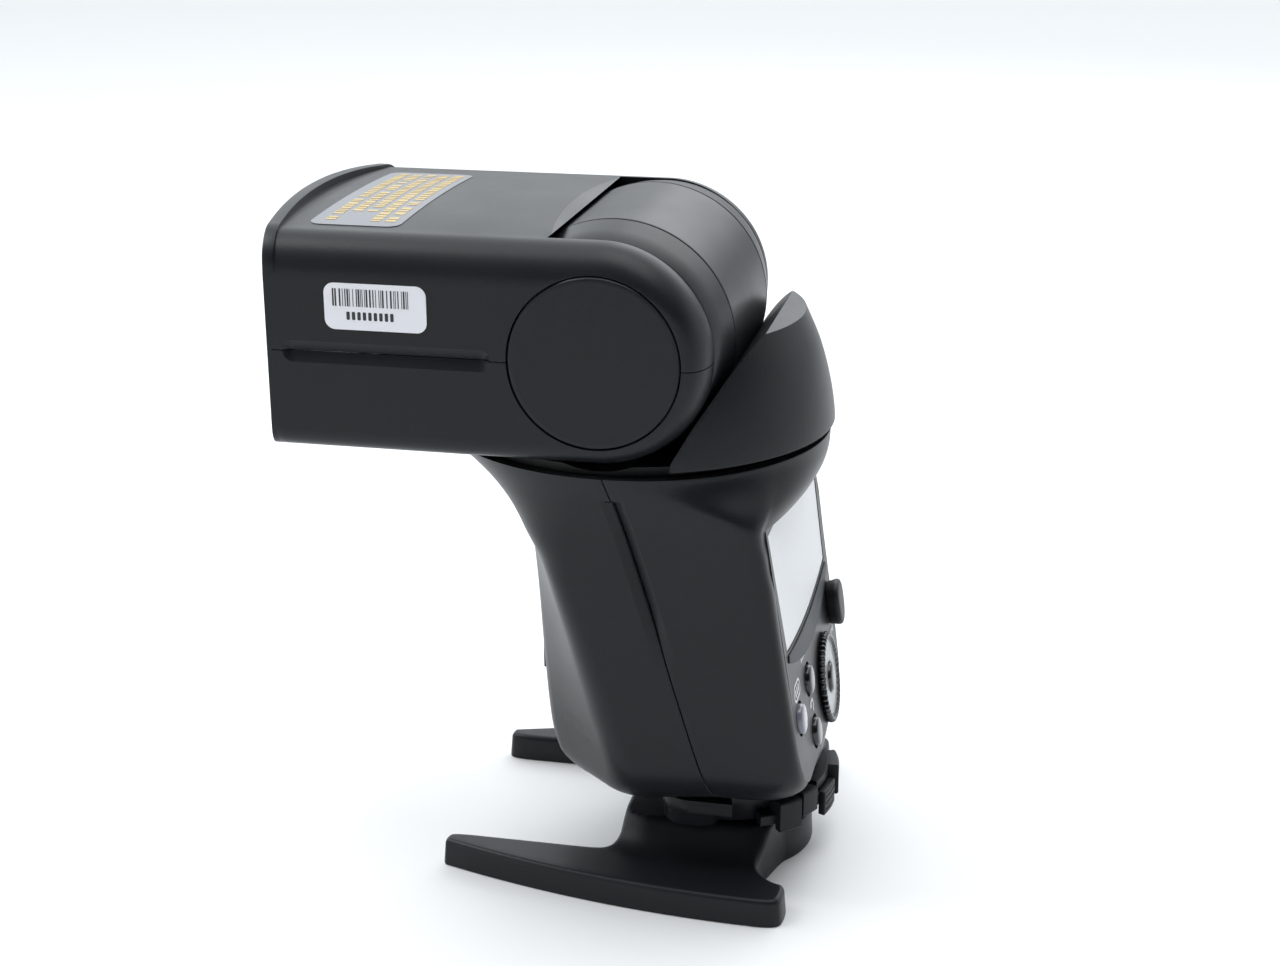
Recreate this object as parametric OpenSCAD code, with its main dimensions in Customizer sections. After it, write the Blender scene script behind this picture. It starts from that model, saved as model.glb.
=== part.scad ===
// Bounce flash unit on its mini stand.
// The origin is the tripod socket's centre on the stand's underside, +Z is up,
// the lamp shines towards -Y and the display faces +Y.

/* [Stand] */
// Thickness of the stand's legs
leg_t = 5.5; // [4:0.5:7]
// Half the stand's width
stand_half_w = 37.1; // [34:0.1:40]
// How far the legs reach ahead of the socket
leg_front = 52.8; // [48:0.2:56]
// Radius of the tripod screw's socket
socket_r = 3.175; // [3:0.005:3.5]

/* [Shoe and foot] */
// Width of the accessory shoe's channel
shoe_w = 18.8; // [18.7:0.05:19]
// Width of the metal foot
foot_w = 18.6; // [18.4:0.05:18.65]
// Thickness of the metal foot
foot_t = 2; // [1.9:0.05:2.05]

/* [Body] */
// Distance of the swivel axis ahead of the socket
pan_ahead = 18.5; // [17:0.5:20]
// Height of the body's round rim
rim_z = 87; // [86:0.1:88]
// Radius of the body's round rim
rim_r = 37.3; // [36.5:0.1:37.3]
// Thickness of the body's walls
wall = 2; // [1.6:0.1:2.2]
// Tilt of the control panel, in degrees
panel_tilt = 8.6; // [8:0.1:9]
// Radius of the round push buttons
button_r = 2.95; // [2.6:0.05:3]
// Radius of the select dial
dial_r = 9.3; // [8:0.1:9.6]

/* [Head] */
// Height of the tilt hinge's axis
hinge_z = 108; // [107.8:0.1:108.2]
// Half the head's width
head_half_w = 37; // [36.5:0.1:37]
// How far the head's casing reaches ahead of the hinge
head_front = 59.5; // [58:0.5:60]
// Radius of the drum between the arms
drum_r = 22; // [21.5:0.1:22]
// Radius of the arms' round ends
arm_r = 20.2; // [19.8:0.1:20.3]
// Distance from the mid plane to each arm
arm_x = 29.15; // [29:0.05:29.5]

/* [Hidden] */

$fn = 64;
pan_y = -pan_ahead;
run = 0.05;             // radial running clearance of every shaft
slot_gap = 0.15;        // clearance beside every sliding plate

charcoal = [0.07, 0.07, 0.075];
dark = [0.04, 0.04, 0.045];
steel = [0.62, 0.62, 0.64];
brass = [0.72, 0.56, 0.27];
pcb_green = [0.05, 0.25, 0.13];

// ---------- stand ----------
shoe_floor = 6.8;
shoe_slot_h = 2.2;
shoe_top = 10.6;
shoe_throat = 13;
shoe_stop = -9.8;
pin_y = -7.2;
pin_r = 1.2;
tongue_r = 17.4;

// Outer edge of a leg, a shallow curve that is widest at the rear
function leg_edge(y) = stand_half_w - 0.00253 * pow(12.8 - y, 2);

module stand_half() {
    tip = -leg_front;
    polygon(concat(
        [for (i = [0:12]) let (y = tip + i * (12.8 - tip) / 12) [leg_edge(y), y]],
        [[36.6, 15.6], [35.1, 16.8], [29, 16.8], [28.4, 13.6], [24.6, 10.3]],
        [[17.8, 11.5], [12.6, 12.9], [10.6, 16.3], [5.5, 17.2], [0, 17.4]],
        [[0, pan_y], [17, pan_y], [19.4, -19], [21.2, -20.3], [22, -22.6], [22, 1.6 + tip], [23.2, tip]]
    ));
}

module rounded_square(w, d, r) {
    square([w - 2 * r, d], center = true);
    square([w, d - 2 * r], center = true);
    for (sx = [-1, 1], sy = [-1, 1])
        translate([sx * (w / 2 - r), sy * (d / 2 - r)]) circle(r);
}

module stand_base() color(charcoal) difference() {
    union() {
        linear_extrude(leg_t) {
            stand_half();
            mirror([1, 0]) stand_half();
        }
        // raised block that carries the shoe
        translate([0, -1.8, 0]) linear_extrude(shoe_top) rounded_square(31, 28.8, 7);
        // rounded tongue behind it
        linear_extrude(9) intersection() {
            circle(tongue_r);
            translate([-11, 0]) square([22, 20]);
        }
    }
    translate([0, 0, -1]) cylinder(h = 7.3, r = 5.5);
    translate([-shoe_w / 2, shoe_stop, shoe_floor]) cube([shoe_w, 40, shoe_slot_h]);
    translate([-shoe_throat / 2, shoe_stop, shoe_floor]) cube([shoe_throat, 40, 6]);
    // hole that takes the lock pin
    translate([0, pin_y, shoe_floor - 2.2]) cylinder(h = 3, r = pin_r + 0.3);
}

module tripod_bush() color(brass) difference() {
    cylinder(h = 6.3, r = 5.5);
    translate([0, 0, -1]) cylinder(h = 6.5, r = socket_r);
}

// ---------- foot ----------
foot_z = shoe_floor + 0.1;
foot_d = 18.4;
foot_y = shoe_stop + 0.3;
neck_w = 12.4;
collar_z = 11;
lever_z = 10.9;
lever_t = 2.4;
lever_r = 17.8;
body_z = 16.5;
contact_pos = [[0, 0.6], [-3.6, 3.4], [3.6, 3.4], [-3.6, -2.2], [3.6, -2.2]];
screw_pos = [[-12, -6], [12, -6], [-12, 6], [12, 6]];

module foot_plate() color(steel) difference() {
    union() {
        translate([-foot_w / 2, foot_y, foot_z]) cube([foot_w, foot_d, foot_t]);
        translate([-neck_w / 2, foot_y, foot_z]) cube([neck_w, foot_d, collar_z - foot_z]);
    }
    translate([-5.2, -3.6, foot_z - 1]) cube([10.4, 9, 6]);
    translate([0, pin_y, 0]) cylinder(h = 20, r = pin_r + run);
}

module contact_block() color(dark) difference() {
    translate([-5.2, -3.6, foot_z]) cube([10.4, 9, collar_z - foot_z]);
    for (p = contact_pos) translate([p[0], p[1], foot_z - 1]) cylinder(h = 8, r = 0.9);
}

module foot_contacts() color(brass)
    for (p = contact_pos) translate([p[0], p[1], foot_z]) cylinder(h = collar_z - foot_z, r = 0.9);

module collar_block() translate([0, 0.7, 0]) rounded_square(42, 22, 6);

module foot_collar() color(charcoal) difference() {
    union() {
        translate([0, 0, collar_z]) linear_extrude(2.6) intersection() {
            collar_block();
            circle(lever_r - 0.3);
        }
        translate([0, 0, collar_z + 2.6]) linear_extrude(body_z - collar_z - 2.6) collar_block();
    }
    translate([0, pin_y, 0]) cylinder(h = 20, r = pin_r + run);
    for (p = screw_pos) translate([p[0], p[1], 0]) {
        cylinder(h = 30, r = 1);
        cylinder(h = collar_z + 1.2, r = 2);
    }
}

module foot_screws() color(steel) for (p = screw_pos) translate([p[0], p[1], 0]) {
    translate([0, 0, collar_z + 0.2]) cylinder(h = 1, r = 2);
    translate([0, 0, collar_z + 1.2]) cylinder(h = body_z + 1.4 - collar_z - 1.2, r = 1);
}

module lock_pin() color(steel) translate([0, pin_y, foot_z + 0.1]) cylinder(h = 10.5, r = pin_r);

module ring_sector(r1, r2, h, a1, a2) {
    rotate([0, 0, a1]) rotate_extrude(angle = a2 - a1) translate([r1, 0]) square([r2 - r1, h]);
}

release_a = [70, 92];
module lock_lever() color(charcoal) translate([0, 0, lever_z]) difference() {
    union() {
        ring_sector(lever_r, 20.6, lever_t, 28, 142);
        translate([0, 0, -4.7]) ring_sector(18.2, 22.6, 4.7 + lever_t, 28, 50);
        translate([0, 0, -4.7]) ring_sector(18.2, 22.6, 4.7 + lever_t, 126, 142);
    }
    translate([0, 0, -1]) ring_sector(18.6, 25, lever_t + 2, release_a[0], release_a[1]);
}

module lock_release_button() color(dark) translate([0, 0, lever_z])
    intersection() {
        translate([0, 0, -3.4]) ring_sector(19.9, 22.4, 3.4 + lever_t, release_a[0] + 1.5, release_a[1] - 1.5);
        translate([-10, 0, -5]) cube([20, 40, 20]);
    }

// ---------- body ----------
seam_slope = 0.2836;
front_steps = 5;
levels = [body_z, 18, 20, 23, 27, 32, 42, 54, 64, 68, 71, 74, 76, 78, 80, 82, 84, 85.5, rim_z];

function seam_y(z) = 1.7 + (86 - z) * seam_slope;
function side_x(z) = lookup(z, [[16.5, 17.6], [18, 20.6], [20, 24.6], [23, 27.7], [27, 29.8], [32, 30.6],
    [60, 32.3], [74, 33.6], [81, 35.2], [87, rim_r]]);
function ridge_x(z) = lookup(z, [[16.5, 21.5], [18, 24], [20, 26.4], [23, 28.3], [27, 29.8], [32, 30.3],
    [60, 31.9], [74, 33.4], [81, 35.2], [87, rim_r]]);
function ridge_y(z) = lookup(z, [[16.5, 2.6], [18, 2], [24, 2.2], [36.6, -1], [48.5, -4.7], [60, -8.4],
    [68, -11], [74, -14], [87, -16]]);
function nose_y(z) = lookup(z, [[16.5, -12.4], [18, -14.4], [20, -16.2], [26, -17.7], [37, -18.7], [58, -20],
    [66, -20.8], [72, -23.3], [77.7, -27.7], [87, -rim_r]]);
function rear_y(z) = lookup(z, [[16.5, 35.4], [18, 36.8], [20, 37.6], [24, 37.8], [32, 36.6], [64, 31.76],
    [71, 31.2], [74, 31.7], [78, 34.9], [82, 36.7], [87, rim_r]]);
function rear_corner(z) = lookup(z, [[16.5, 13], [18, 12], [22, 8], [28, 4.5], [34, 3], [72, 3], [76, 4.2], [80, 8],
    [87, 20]]);
// How far the middle of the back stands behind its corners, under the hood and at the foot
function rear_bulge(z) = lookup(z, [[16.5, 3], [20, 1.5], [24, 0], [66, 0], [74, 1.9], [78, 5], [87, 6]]);
// How far each section has rounded out towards the rim
function front_round(z) = z < 64 ? 0 : pow((z - 64) / (rim_z - 64), 1.4);
function rear_round(z) = let (t = max(0, (z - 75.5) / (rim_z - 75.5))) t * t * (3 - 2 * t);

function bend(a, b, c, t) = (1 - t) * (1 - t) * a + 2 * t * (1 - t) * b + t * t * c;
function toward(a, b, d) = a + (b - a) * d / norm(b - a);
function corner(a, b, c, d1, d2, n) = [for (i = [0:n]) bend(toward(b, a, d1), b, toward(b, c, d2), i / n)];
// A quarter of an ellipse from the seam to the mid plane
function quarter(sx, sy, end_y, t) = [sx * cos(90 * t), sy + (end_y - sy) * sin(90 * t)];
function mix_points(a, b, w) = [for (i = [0:len(a) - 1]) a[i] * (1 - w) + b[i] * w];

// Half a front section from the seam to the nose, inset by d. The inner edge of each seam stands
// back by a hair, so that no three corners of a section are in line.
seam_hair = 0.002;
function front_half(z, d) = let (
    s = [side_x(z) - d, seam_y(z) - (d > 0 ? seam_hair : 0)],
    r = [ridge_x(z) - d, ridge_y(z) + 0.7 * d],
    n = [10.5 - 0.45 * d, nose_y(z) + 1.8 + 0.95 * d],
    f = [0, nose_y(z) + d],
    own = concat([s], corner(s, r, n, 4, 5, 5), corner(r, n, f, 3, 4, 3), [f]),
    last = len(own) - 1
) mix_points(own, [for (i = [0:last]) quarter(s[0], s[1], f[1], i / last)], front_round(z));

// Half a rear section from the seam to the middle of the back, inset by d
function rear_half(z, d) = let (
    s = [side_x(z) - d, seam_y(z) + (d > 0 ? seam_hair : 0)],
    b = rear_bulge(z),
    k = [side_x(z) - d, rear_y(z) - b - d],
    f = [0, rear_y(z) - d],
    bent = corner(s, k, [0, k[1]], min(rear_corner(z), k[1] - s[1] - 0.2), rear_corner(z), 5),
    back_x = bent[5][0],
    own = concat([s], bent, [for (i = [1:3]) [back_x * (1 - i / 4), k[1] + b * (1 - pow(1 - i / 4, 2))]], [f]),
    last = len(own) - 1
) mix_points(own, [for (i = [0:last]) quarter(s[0], s[1], f[1], i / last)], rear_round(z));

function mirrored(half) = concat(half, [for (i = [len(half) - 2:-1:0]) [-half[i][0], half[i][1]]]);
function reversed(list) = [for (i = [len(list) - 1:-1:0]) list[i]];

// A solid through sections that all have the same number of points
module loft(sections, heights) {
    n = len(sections[0]);
    m = len(sections);
    points = [for (k = [0:m - 1], p = sections[k]) [p[0], p[1], heights[k]]];
    sides = [for (k = [0:m - 2], i = [0:n - 1]) [k * n + i, k * n + (i + 1) % n, (k + 1) * n + (i + 1) % n,
        (k + 1) * n + i]];
    floor_face = [[for (i = [n - 1:-1:0]) i]];
    top_face = [[for (i = [0:n - 1]) (m - 1) * n + i]];
    polyhedron(points, concat(sides, floor_face, top_face), convexity = 8);
}

module on_pan() translate([0, pan_y, 0]) children();
module on_hinge() translate([0, pan_y, hinge_z]) children();

// Panel frame: x to the viewer's right, y up the panel and z out of it
panel_y0 = 36.6;
panel_z0 = 32;
module on_panel() translate([0, pan_y + panel_y0, panel_z0]) rotate([90 - panel_tilt, 0, 180]) children();
panel_t = 2.4;
panel_low = -9;
panel_high = 45;
panel_low_w = 27.2;
panel_high_w = 29.4;
panel_corner = 8;

// The far side carries the battery door, which leans with the seam
door_x = -30.85;
door_z = 51.2;
door_t = 2;
door_lean = 15.84;
door_draft = 4;
door_len = 51;
pin_reach = 1.6;
door_front = 10.5;
door_rear = 13;
module on_door() translate([door_x, pan_y + seam_y(door_z), door_z]) rotate([0, -door_draft, 0]) rotate([door_lean, 0, 0])
    children();

// The rim's diameter sets the width of both halves of the casing
module front_shell() color(charcoal) resize([2 * rim_r, 0, 0]) difference() {
    on_pan() loft([for (z = levels) concat(mirrored(front_half(z, 0)), reversed(mirrored(front_half(z, wall))))],
        levels);
    on_pan() translate([-af_w / 2, -30, af_z]) cube([af_w, 20, af_h]);
    door_cut();
}

module rear_shell() color(charcoal) resize([2 * rim_r, 0, 0]) difference() {
    on_pan() mirror([1, 0, 0]) loft([for (z = levels)
        concat(mirrored(rear_half(z, 0)), reversed(mirrored(rear_half(z, wall))))], levels);
    on_panel() translate([0, 0, -8]) linear_extrude(20) panel_outline(0);
    door_cut();
}

module door_cut() on_door()
    translate([-5, -door_front - 0.2, -door_len / 2 - 0.2])
        cube([10, door_front + door_rear + 1.4, door_len + 0.4]);

module battery_door() color(charcoal) on_door() {
    difference() {
        union() {
            translate([-door_t / 2, -door_front, -door_len / 2]) cube([door_t, door_front + door_rear, door_len]);
            translate([0, door_rear, -door_len / 2]) cylinder(h = door_len, r = door_t / 2);
        }
        translate([0, door_rear, -door_len]) cylinder(h = 2 * door_len, r = 0.5 + run);
    }
}

module door_hinge_pin() color(steel) on_door()
    translate([0, door_rear, -door_len / 2 - pin_reach]) cylinder(h = door_len + 2 * pin_reach, r = 0.5);

af_w = 17;
af_h = 11.5;
af_z = 36.5;
module af_assist_window() color([0.12, 0.01, 0.02]) on_pan() intersection() {
    translate([-af_w / 2 + 0.1, -19.4, af_z + 0.1]) cube([af_w - 0.2, 3.2, af_h - 0.2]);
    translate([0, 10, 0]) cylinder(h = 90, r = 28.8);
}

module base_plate() color(dark) difference() {
    on_pan() translate([0, 0, body_z]) linear_extrude(1.5)
        polygon(concat(mirrored(front_half(body_z, wall)), reversed(mirrored(rear_half(body_z, wall)))));
    for (p = screw_pos) translate([p[0], p[1], 0]) cylinder(h = 30, r = 1);
    translate([0, pin_y, 0]) cylinder(h = 30, r = pin_r + run);
}

// ---------- control panel ----------
lcd_low = 19.5;
lcd_high = 43.6;
lcd_low_w = 25;
lcd_high_w = 28;
sub_menu_at = [-9, 7.2];
bounce_at = [-21.5, 4.6];
back_at = [-8.6, -4];
dial_at = [10, -0.6];
power_at = [22.5, 9.5];

module lcd_outline() polygon([[-lcd_low_w, lcd_low], [0, lcd_low - 1.6], [lcd_low_w, lcd_low], [lcd_high_w, lcd_high],
    [-lcd_high_w, lcd_high]]);

module panel_outline(gap) {
    low = panel_low + panel_corner;
    w0 = panel_low_w - gap;
    w1 = panel_high_w - gap;
    polygon([[-w0, low], [w0, low], [w1, panel_high - gap], [-w1, panel_high - gap]]);
    translate([panel_corner - panel_low_w, panel_low + gap])
        square([2 * (panel_low_w - panel_corner), panel_corner + 0.01 - gap]);
    for (sx = [-1, 1]) translate([sx * (panel_low_w - panel_corner), low]) circle(panel_corner - gap);
}

module rear_panel() color(charcoal) on_panel() difference() {
    translate([0, 0, -panel_t]) linear_extrude(panel_t) panel_outline(0.06);
    translate([0, 0, -5]) linear_extrude(10) lcd_outline();
    for (p = [sub_menu_at, bounce_at, back_at])
        translate([p[0], p[1], -5]) cylinder(h = 10, r = button_r + run);
    translate([dial_at[0], dial_at[1], -5]) cylinder(h = 10, r = 5 + run);
    translate([power_at[0], power_at[1], -5]) cylinder(h = 10, r = 1.8 + run);
}

module lcd_window() color([0.75, 0.77, 0.8]) on_panel()
    translate([0, 0, -1.3]) linear_extrude(1.2) lcd_outline();

module lcd_module() color([0.5, 0.52, 0.5]) on_panel()
    translate([-25, lcd_low + 0.4, -4.8]) cube([50, 22.5, 2.4]);

module push_button(at) on_panel() translate([at[0], at[1], 0]) {
    translate([0, 0, -panel_t]) cylinder(h = panel_t + 1.1, r = button_r);
    translate([0, 0, -panel_t - 0.8]) cylinder(h = 0.8, r = button_r + 0.7);
}
module sub_menu_button() color(dark) push_button(sub_menu_at);
module bounce_button() color([0.2, 0.2, 0.22]) push_button(bounce_at);
module back_button() color(dark) push_button(back_at);

module select_dial() color(dark) on_panel() translate([dial_at[0], dial_at[1], 0]) difference() {
    union() {
        translate([0, 0, 0.1]) cylinder(h = 2.3, r = dial_r - 0.35);
        // thumb serrations around the rim
        for (i = [0:39]) rotate([0, 0, i * 9]) translate([dial_r - 0.9, -0.4, 0.1]) cube([0.9, 0.8, 2.2]);
        translate([0, 0, -panel_t]) cylinder(h = panel_t + 0.2, r = 5);
    }
    translate([0, 0, -5]) cylinder(h = 10, r = 3 + run);
    translate([0, 0, 1.9]) cylinder(h = 2, r = 7.4);
}

module set_button() color(dark) on_panel() translate([dial_at[0], dial_at[1], -panel_t])
    cylinder(h = panel_t + 2.9, r = 3);

module power_lever() color(dark) on_panel() translate([power_at[0], power_at[1], 0]) {
    translate([0, 0, 0.1]) cylinder(h = 1.4, r = 3.6);
    translate([0, 0, -panel_t]) cylinder(h = panel_t + 0.2, r = 1.8);
    translate([0.6, -2.6, 0.1]) cube([5, 5.2, 3.4]);
    translate([5.6, 0, 0.1]) cylinder(h = 3.4, r = 2.6);
}

// ---------- inside the body ----------
cell_r = 7.05;
cell_l = 50;
cell_x = [-18.2, -3.9];
cell_y = [-8.3, 5.9];
cell_z = 48.5;
cell_wall_x = 3.3;
module on_cells() translate([0, pan_y + seam_y(cell_z), cell_z]) rotate([door_lean, 0, 0]) children();

module batteries() color([0.25, 0.35, 0.5]) on_cells()
    for (x = cell_x, y = cell_y) translate([x, y, -cell_l / 2]) {
        cylinder(h = cell_l - 1, r = cell_r);
        translate([0, 0, cell_l - 1]) cylinder(h = 1, r = 2.6);
    }

module battery_contacts() color(steel) on_cells()
    for (z = [-cell_l / 2 - 0.4, cell_l / 2])
        translate([-21, -12.6, z]) cube([21 + cell_wall_x, 22, 0.4]);

module battery_tray() color(dark) on_cells() {
    translate([cell_wall_x, -12.6, -cell_l / 2 - 1.6]) cube([1.2, 22, cell_l + 3.2]);
    for (z = [-cell_l / 2 - 1.6, cell_l / 2 + 0.4])
        translate([-21, -12.6, z]) cube([21 + cell_wall_x, 22, 1.2]);
}

module main_board() color(pcb_green) on_panel() translate([-26, -4, -7.2]) cube([23.5, 44, 1.6]);

module main_capacitor() color(dark) on_cells() translate([15, -3.5, -21]) cylinder(h = 34, r = 8.5);

// ---------- swivel ----------
hub_r = 9;
gear_z = 79.6;
gear_t = 3;
gear_teeth = 36;
pinion_teeth = 12;
gear_module = 1;
tooth_tip = 0.8;
tooth_root = 1.15;
pinion_x = (gear_teeth + pinion_teeth) * gear_module / 2;

module spur_gear(teeth, h) linear_extrude(h) {
    pitch_r = teeth * gear_module / 2;
    circle(pitch_r - tooth_root * gear_module);
    half_root = 0.62 * gear_module;
    half_tip = 0.34 * gear_module;
    for (i = [0:teeth - 1]) rotate(i * 360 / teeth)
        polygon([[pitch_r - 1.6, -half_root], [pitch_r + tooth_tip, -half_tip], [pitch_r + tooth_tip, half_tip],
            [pitch_r - 1.6, half_root]]);
}

module bearing_plate() color(dark) on_pan() difference() {
    translate([0, 0, 83.4]) cylinder(h = 2.6, r = 31.2);
    translate([0, 0, 80]) cylinder(h = 10, r = hub_r + run);
}

module pan_gear() color([0.85, 0.85, 0.8]) on_pan() difference() {
    translate([0, 0, gear_z]) spur_gear(gear_teeth, gear_t);
    translate([0, 0, gear_z - 1]) cylinder(h = 10, r = hub_r);
}

module pan_pinion() color([0.85, 0.85, 0.8]) on_pan() translate([pinion_x, 0, gear_z]) difference() {
    rotate([0, 0, 180 / pinion_teeth]) spur_gear(pinion_teeth, gear_t);
    translate([0, 0, -1]) cylinder(h = 10, r = 1 + run);
}

module pan_motor() color(steel) on_pan() translate([pinion_x, 0, 0]) {
    translate([0, 0, 65]) cylinder(h = gear_z - 0.3 - 65, r = 5);
    translate([0, 0, gear_z - 0.4]) cylinder(h = gear_t + 0.6, r = 1);
}

swivel_z = 86.3;
swivel_r = 34.2;
swivel_top = 88.5;
module swivel_base() color(dark) on_pan() difference() {
    union() {
        translate([0, 0, swivel_z]) cylinder(h = swivel_top - swivel_z, r = swivel_r);
        translate([0, 0, gear_z - 0.6]) cylinder(h = swivel_z + 1 - gear_z, r = hub_r);
    }
    translate([0, 0, 70]) cylinder(h = 30, r = 6);
    // room for the head's arms to turn
    translate([0, 0, hinge_z]) both_sides() translate([arm_x - 0.4, 0, 0]) rotate([0, 90, 0])
        cylinder(h = 20, r = arm_r + 0.3);
}

module along_x(len, r) rotate([0, 90, 0]) translate([0, 0, -len / 2]) cylinder(h = len, r = r);

// Two uprights inside the drum that hold the axle
module neck_bracket() color(steel) on_hinge() for (x = [-15, 13]) translate([x, 0, 0]) difference() {
    union() {
        rotate([0, 90, 0]) cylinder(h = 2, r = 9.5);
        translate([0, -4, swivel_top - hinge_z]) cube([2, 8, hinge_z - swivel_top]);
    }
    rotate([0, 90, 0]) translate([0, 0, -1]) cylinder(h = 4, r = axle_r);
}

module below_swivel() translate([-60, -60, swivel_top - hinge_z - 40]) cube([120, 120, 40]);

drum_half = 17.7;
drum_wall = 2;
axle_r = 7;
module neck_drum() color(charcoal) on_hinge() difference() {
    along_x(2 * drum_half, drum_r);
    along_x(2 * drum_half + 2, drum_r - drum_wall);
    below_swivel();
}

module drum_collar() rotate([0, 90, 0]) difference() {
    rotate_extrude() polygon([[axle_r, 27], [axle_r, 29], [20.3, 29], [drum_r, drum_half], [drum_r - drum_wall, drum_half],
        [18.5, 27]]);
    translate([0, 0, drum_half]) cylinder(h = 20, r = axle_r);
}

module drum_collars() color(charcoal) on_hinge() difference() {
    union() {
        drum_collar();
        mirror([1, 0, 0]) drum_collar();
    }
    below_swivel();
}

module hinge_axle() color(steel) on_hinge() difference() {
    along_x(68.4, axle_r);
    along_x(80, axle_r - 2.2);
    // side slot that lets the cables into the tube
    translate([-5, -5, -12]) cube([10, 10, 10]);
}

module tilt_motor() color(steel) on_hinge() translate([0, -13.4, -2]) along_x(26, 5);

// The shroud rises round the back of the neck and ends in a slanted face that meets the drum
shroud_wall = 2.2;
shroud_side = [[38, 88.5], [38, 90], [36.6, 97], [35.1, 102.7], [32.6, 108.4], [31, 112]];
shroud_cut = [[13.2, 89], [19.6, 100], [21.6, 104], [28.6, 111.2], [29.4, 112]];

module shroud_turned(d) rotate_extrude()
    polygon(concat([[0, 88]], [for (p = shroud_side) [p[0] - d, p[1] - (d > 0 ? 0.6 : 0)]], [[0, 112]]));

// Everything in front of and above the slanted face, moved back by d
module above_cut(d) rotate([90, 0, 90]) translate([0, 0, -60]) linear_extrude(120)
    translate([0.8 * d, -0.6 * d]) polygon(concat([[-60, 80], [8, 80]], shroud_cut, [[29.4, 130], [-60, 130]]));

module rear_shroud() color(charcoal) on_pan() difference() {
    shroud_turned(0);
    translate([-60, -60, 80]) cube([120, 120, swivel_top - 80]);
    above_cut(0);
    difference() {
        shroud_turned(shroud_wall);
        above_cut(2.6);
    }
    translate([0, 0, hinge_z]) along_x(2 * arm_x + 0.2, drum_r + 0.1);
}

// ---------- head ----------
head_low = 88.9;
head_side_top = 128.5;
head_top = 129.4;
part_z = 107.5;
head_wall = 1.8;
edge_r = 7.5;
low_r = 4;

// Section across the head, inset by d: wide corners at the top, tighter ones underneath
module head_section(d) {
    w = head_half_w - d;
    z0 = head_low + d;
    z1 = head_side_top - d;
    r0 = low_r - d;
    r1 = edge_r - d;
    translate([-w, z0 + r0]) square([2 * w, z1 - r1 - z0 - r0]);
    translate([r0 - w, z0]) square([2 * (w - r0), z1 - r1 - z0]);
    translate([r1 - w, z0 + r0]) square([2 * (w - r1), z1 - z0 - r0]);
    for (sx = [-1, 1]) {
        translate([sx * (w - r0), z0 + r0]) circle(r0);
        translate([sx * (w - r1), z1 - r1]) circle(r1);
    }
    // gentle crown over the top
    intersection() {
        translate([-28, head_side_top - 6]) square([56, 10]);
        translate([0, head_top - d - 440]) circle(440, $fn = 256);
    }
}

module head_prism(d, y0, y1) on_pan() translate([0, y1, 0]) rotate([90, 0, 0]) linear_extrude(y1 - y0) head_section(d);

// Round end of one arm: distances from the mid plane and the radius at each
arm_steps = [[arm_x, arm_r], [31, arm_r], [35, 18.9], [head_half_w, 16.2]];
module arm_end() on_hinge() for (i = [0:2]) translate([arm_steps[i][0], 0, 0]) rotate([0, 90, 0])
    cylinder(h = arm_steps[i + 1][0] - arm_steps[i][0], r1 = arm_steps[i][1], r2 = arm_steps[i + 1][1]);

module both_sides() {
    children();
    mirror([1, 0, 0]) children();
}

module head_outer() difference() {
    union() {
        head_prism(0, -head_front, 0);
        both_sides() arm_end();
    }
    on_hinge() along_x(2 * arm_x, drum_r + 0.8);
    // the top cover ends in a lip that slants down to the drum
    on_pan() rotate([90, 0, 90]) translate([0, 0, -arm_x]) linear_extrude(2 * arm_x)
        polygon([[-9.5, 60], [-9.5, hinge_z + 20.6], [-12.6, head_top + 0.2], [-12.6, 150], [60, 150], [60, 60]]);
    on_pan() translate([-60, -30, 60]) cube([120, 80, head_low - 60]);
}

module head_inner() difference() {
    head_prism(head_wall, -head_front - 1, -14.6);
    on_hinge() along_x(2 * arm_x + 2 * head_wall, drum_r + 0.8 + head_wall);
}

// Recesses for the round side caps and the bores for the axle
cap_r = 15.6;
cap_x = 34.6;
module arm_bores() on_hinge() {
    along_x(200, axle_r + run);
    both_sides() translate([cap_x, 0, 0]) rotate([0, 90, 0]) cylinder(h = 10, r = cap_r + 0.15);
}

// One half of the head's casing: everything from z0 up to z1 is cut away
module head_shell(z0, z1) difference() {
    head_outer();
    translate([-60, -100, z0]) cube([120, 120, z1 - z0]);
    head_inner();
    arm_bores();
}
module head_top_shell() color(charcoal) head_shell(60, part_z);
module head_bottom_shell() color(charcoal) head_shell(part_z, 160);

module hinge_cap() on_hinge() translate([cap_x, 0, 0]) rotate([0, 90, 0])
    cylinder(h = head_half_w - cap_x, r = cap_r);
module hinge_cap_left() color(charcoal) hinge_cap();
module hinge_cap_right() color(charcoal) mirror([1, 0, 0]) hinge_cap();

lens_z = [93.5, 119.5];
lens_half_w = 30.5;
wide_z = 121.6;
wide_t = 1;
catch_z = 123.5;
catch_t = 0.6;
bezel_front = 64;
front_r = 190;
lip_top = 131;

module bezel_outline() intersection() {
    union() {
        head_section(0);
        intersection() {
            translate([-29.5, head_side_top - 6]) square([59, 12]);
            translate([0, lip_top - 190]) circle(190, $fn = 256);
        }
    }
    translate([-50, head_low]) square([100, 60]);
}

module head_bezel() color(charcoal) on_pan() difference() {
    intersection() {
        translate([0, -head_front, 0]) rotate([90, 0, 0]) linear_extrude(10) bezel_outline();
        translate([0, front_r - bezel_front, 0]) cylinder(h = 200, r = front_r, $fn = 256);
    }
    translate([-lens_half_w, -80, lens_z[0]]) cube([2 * lens_half_w, 40, lens_z[1] - lens_z[0]]);
    translate([-28 - slot_gap, -80, wide_z - slot_gap]) cube([56 + 2 * slot_gap, 40, wide_t + 2 * slot_gap]);
    translate([-27 - slot_gap, -80, catch_z - slot_gap]) cube([54 + 2 * slot_gap, 40, catch_t + 2 * slot_gap]);
}

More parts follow.
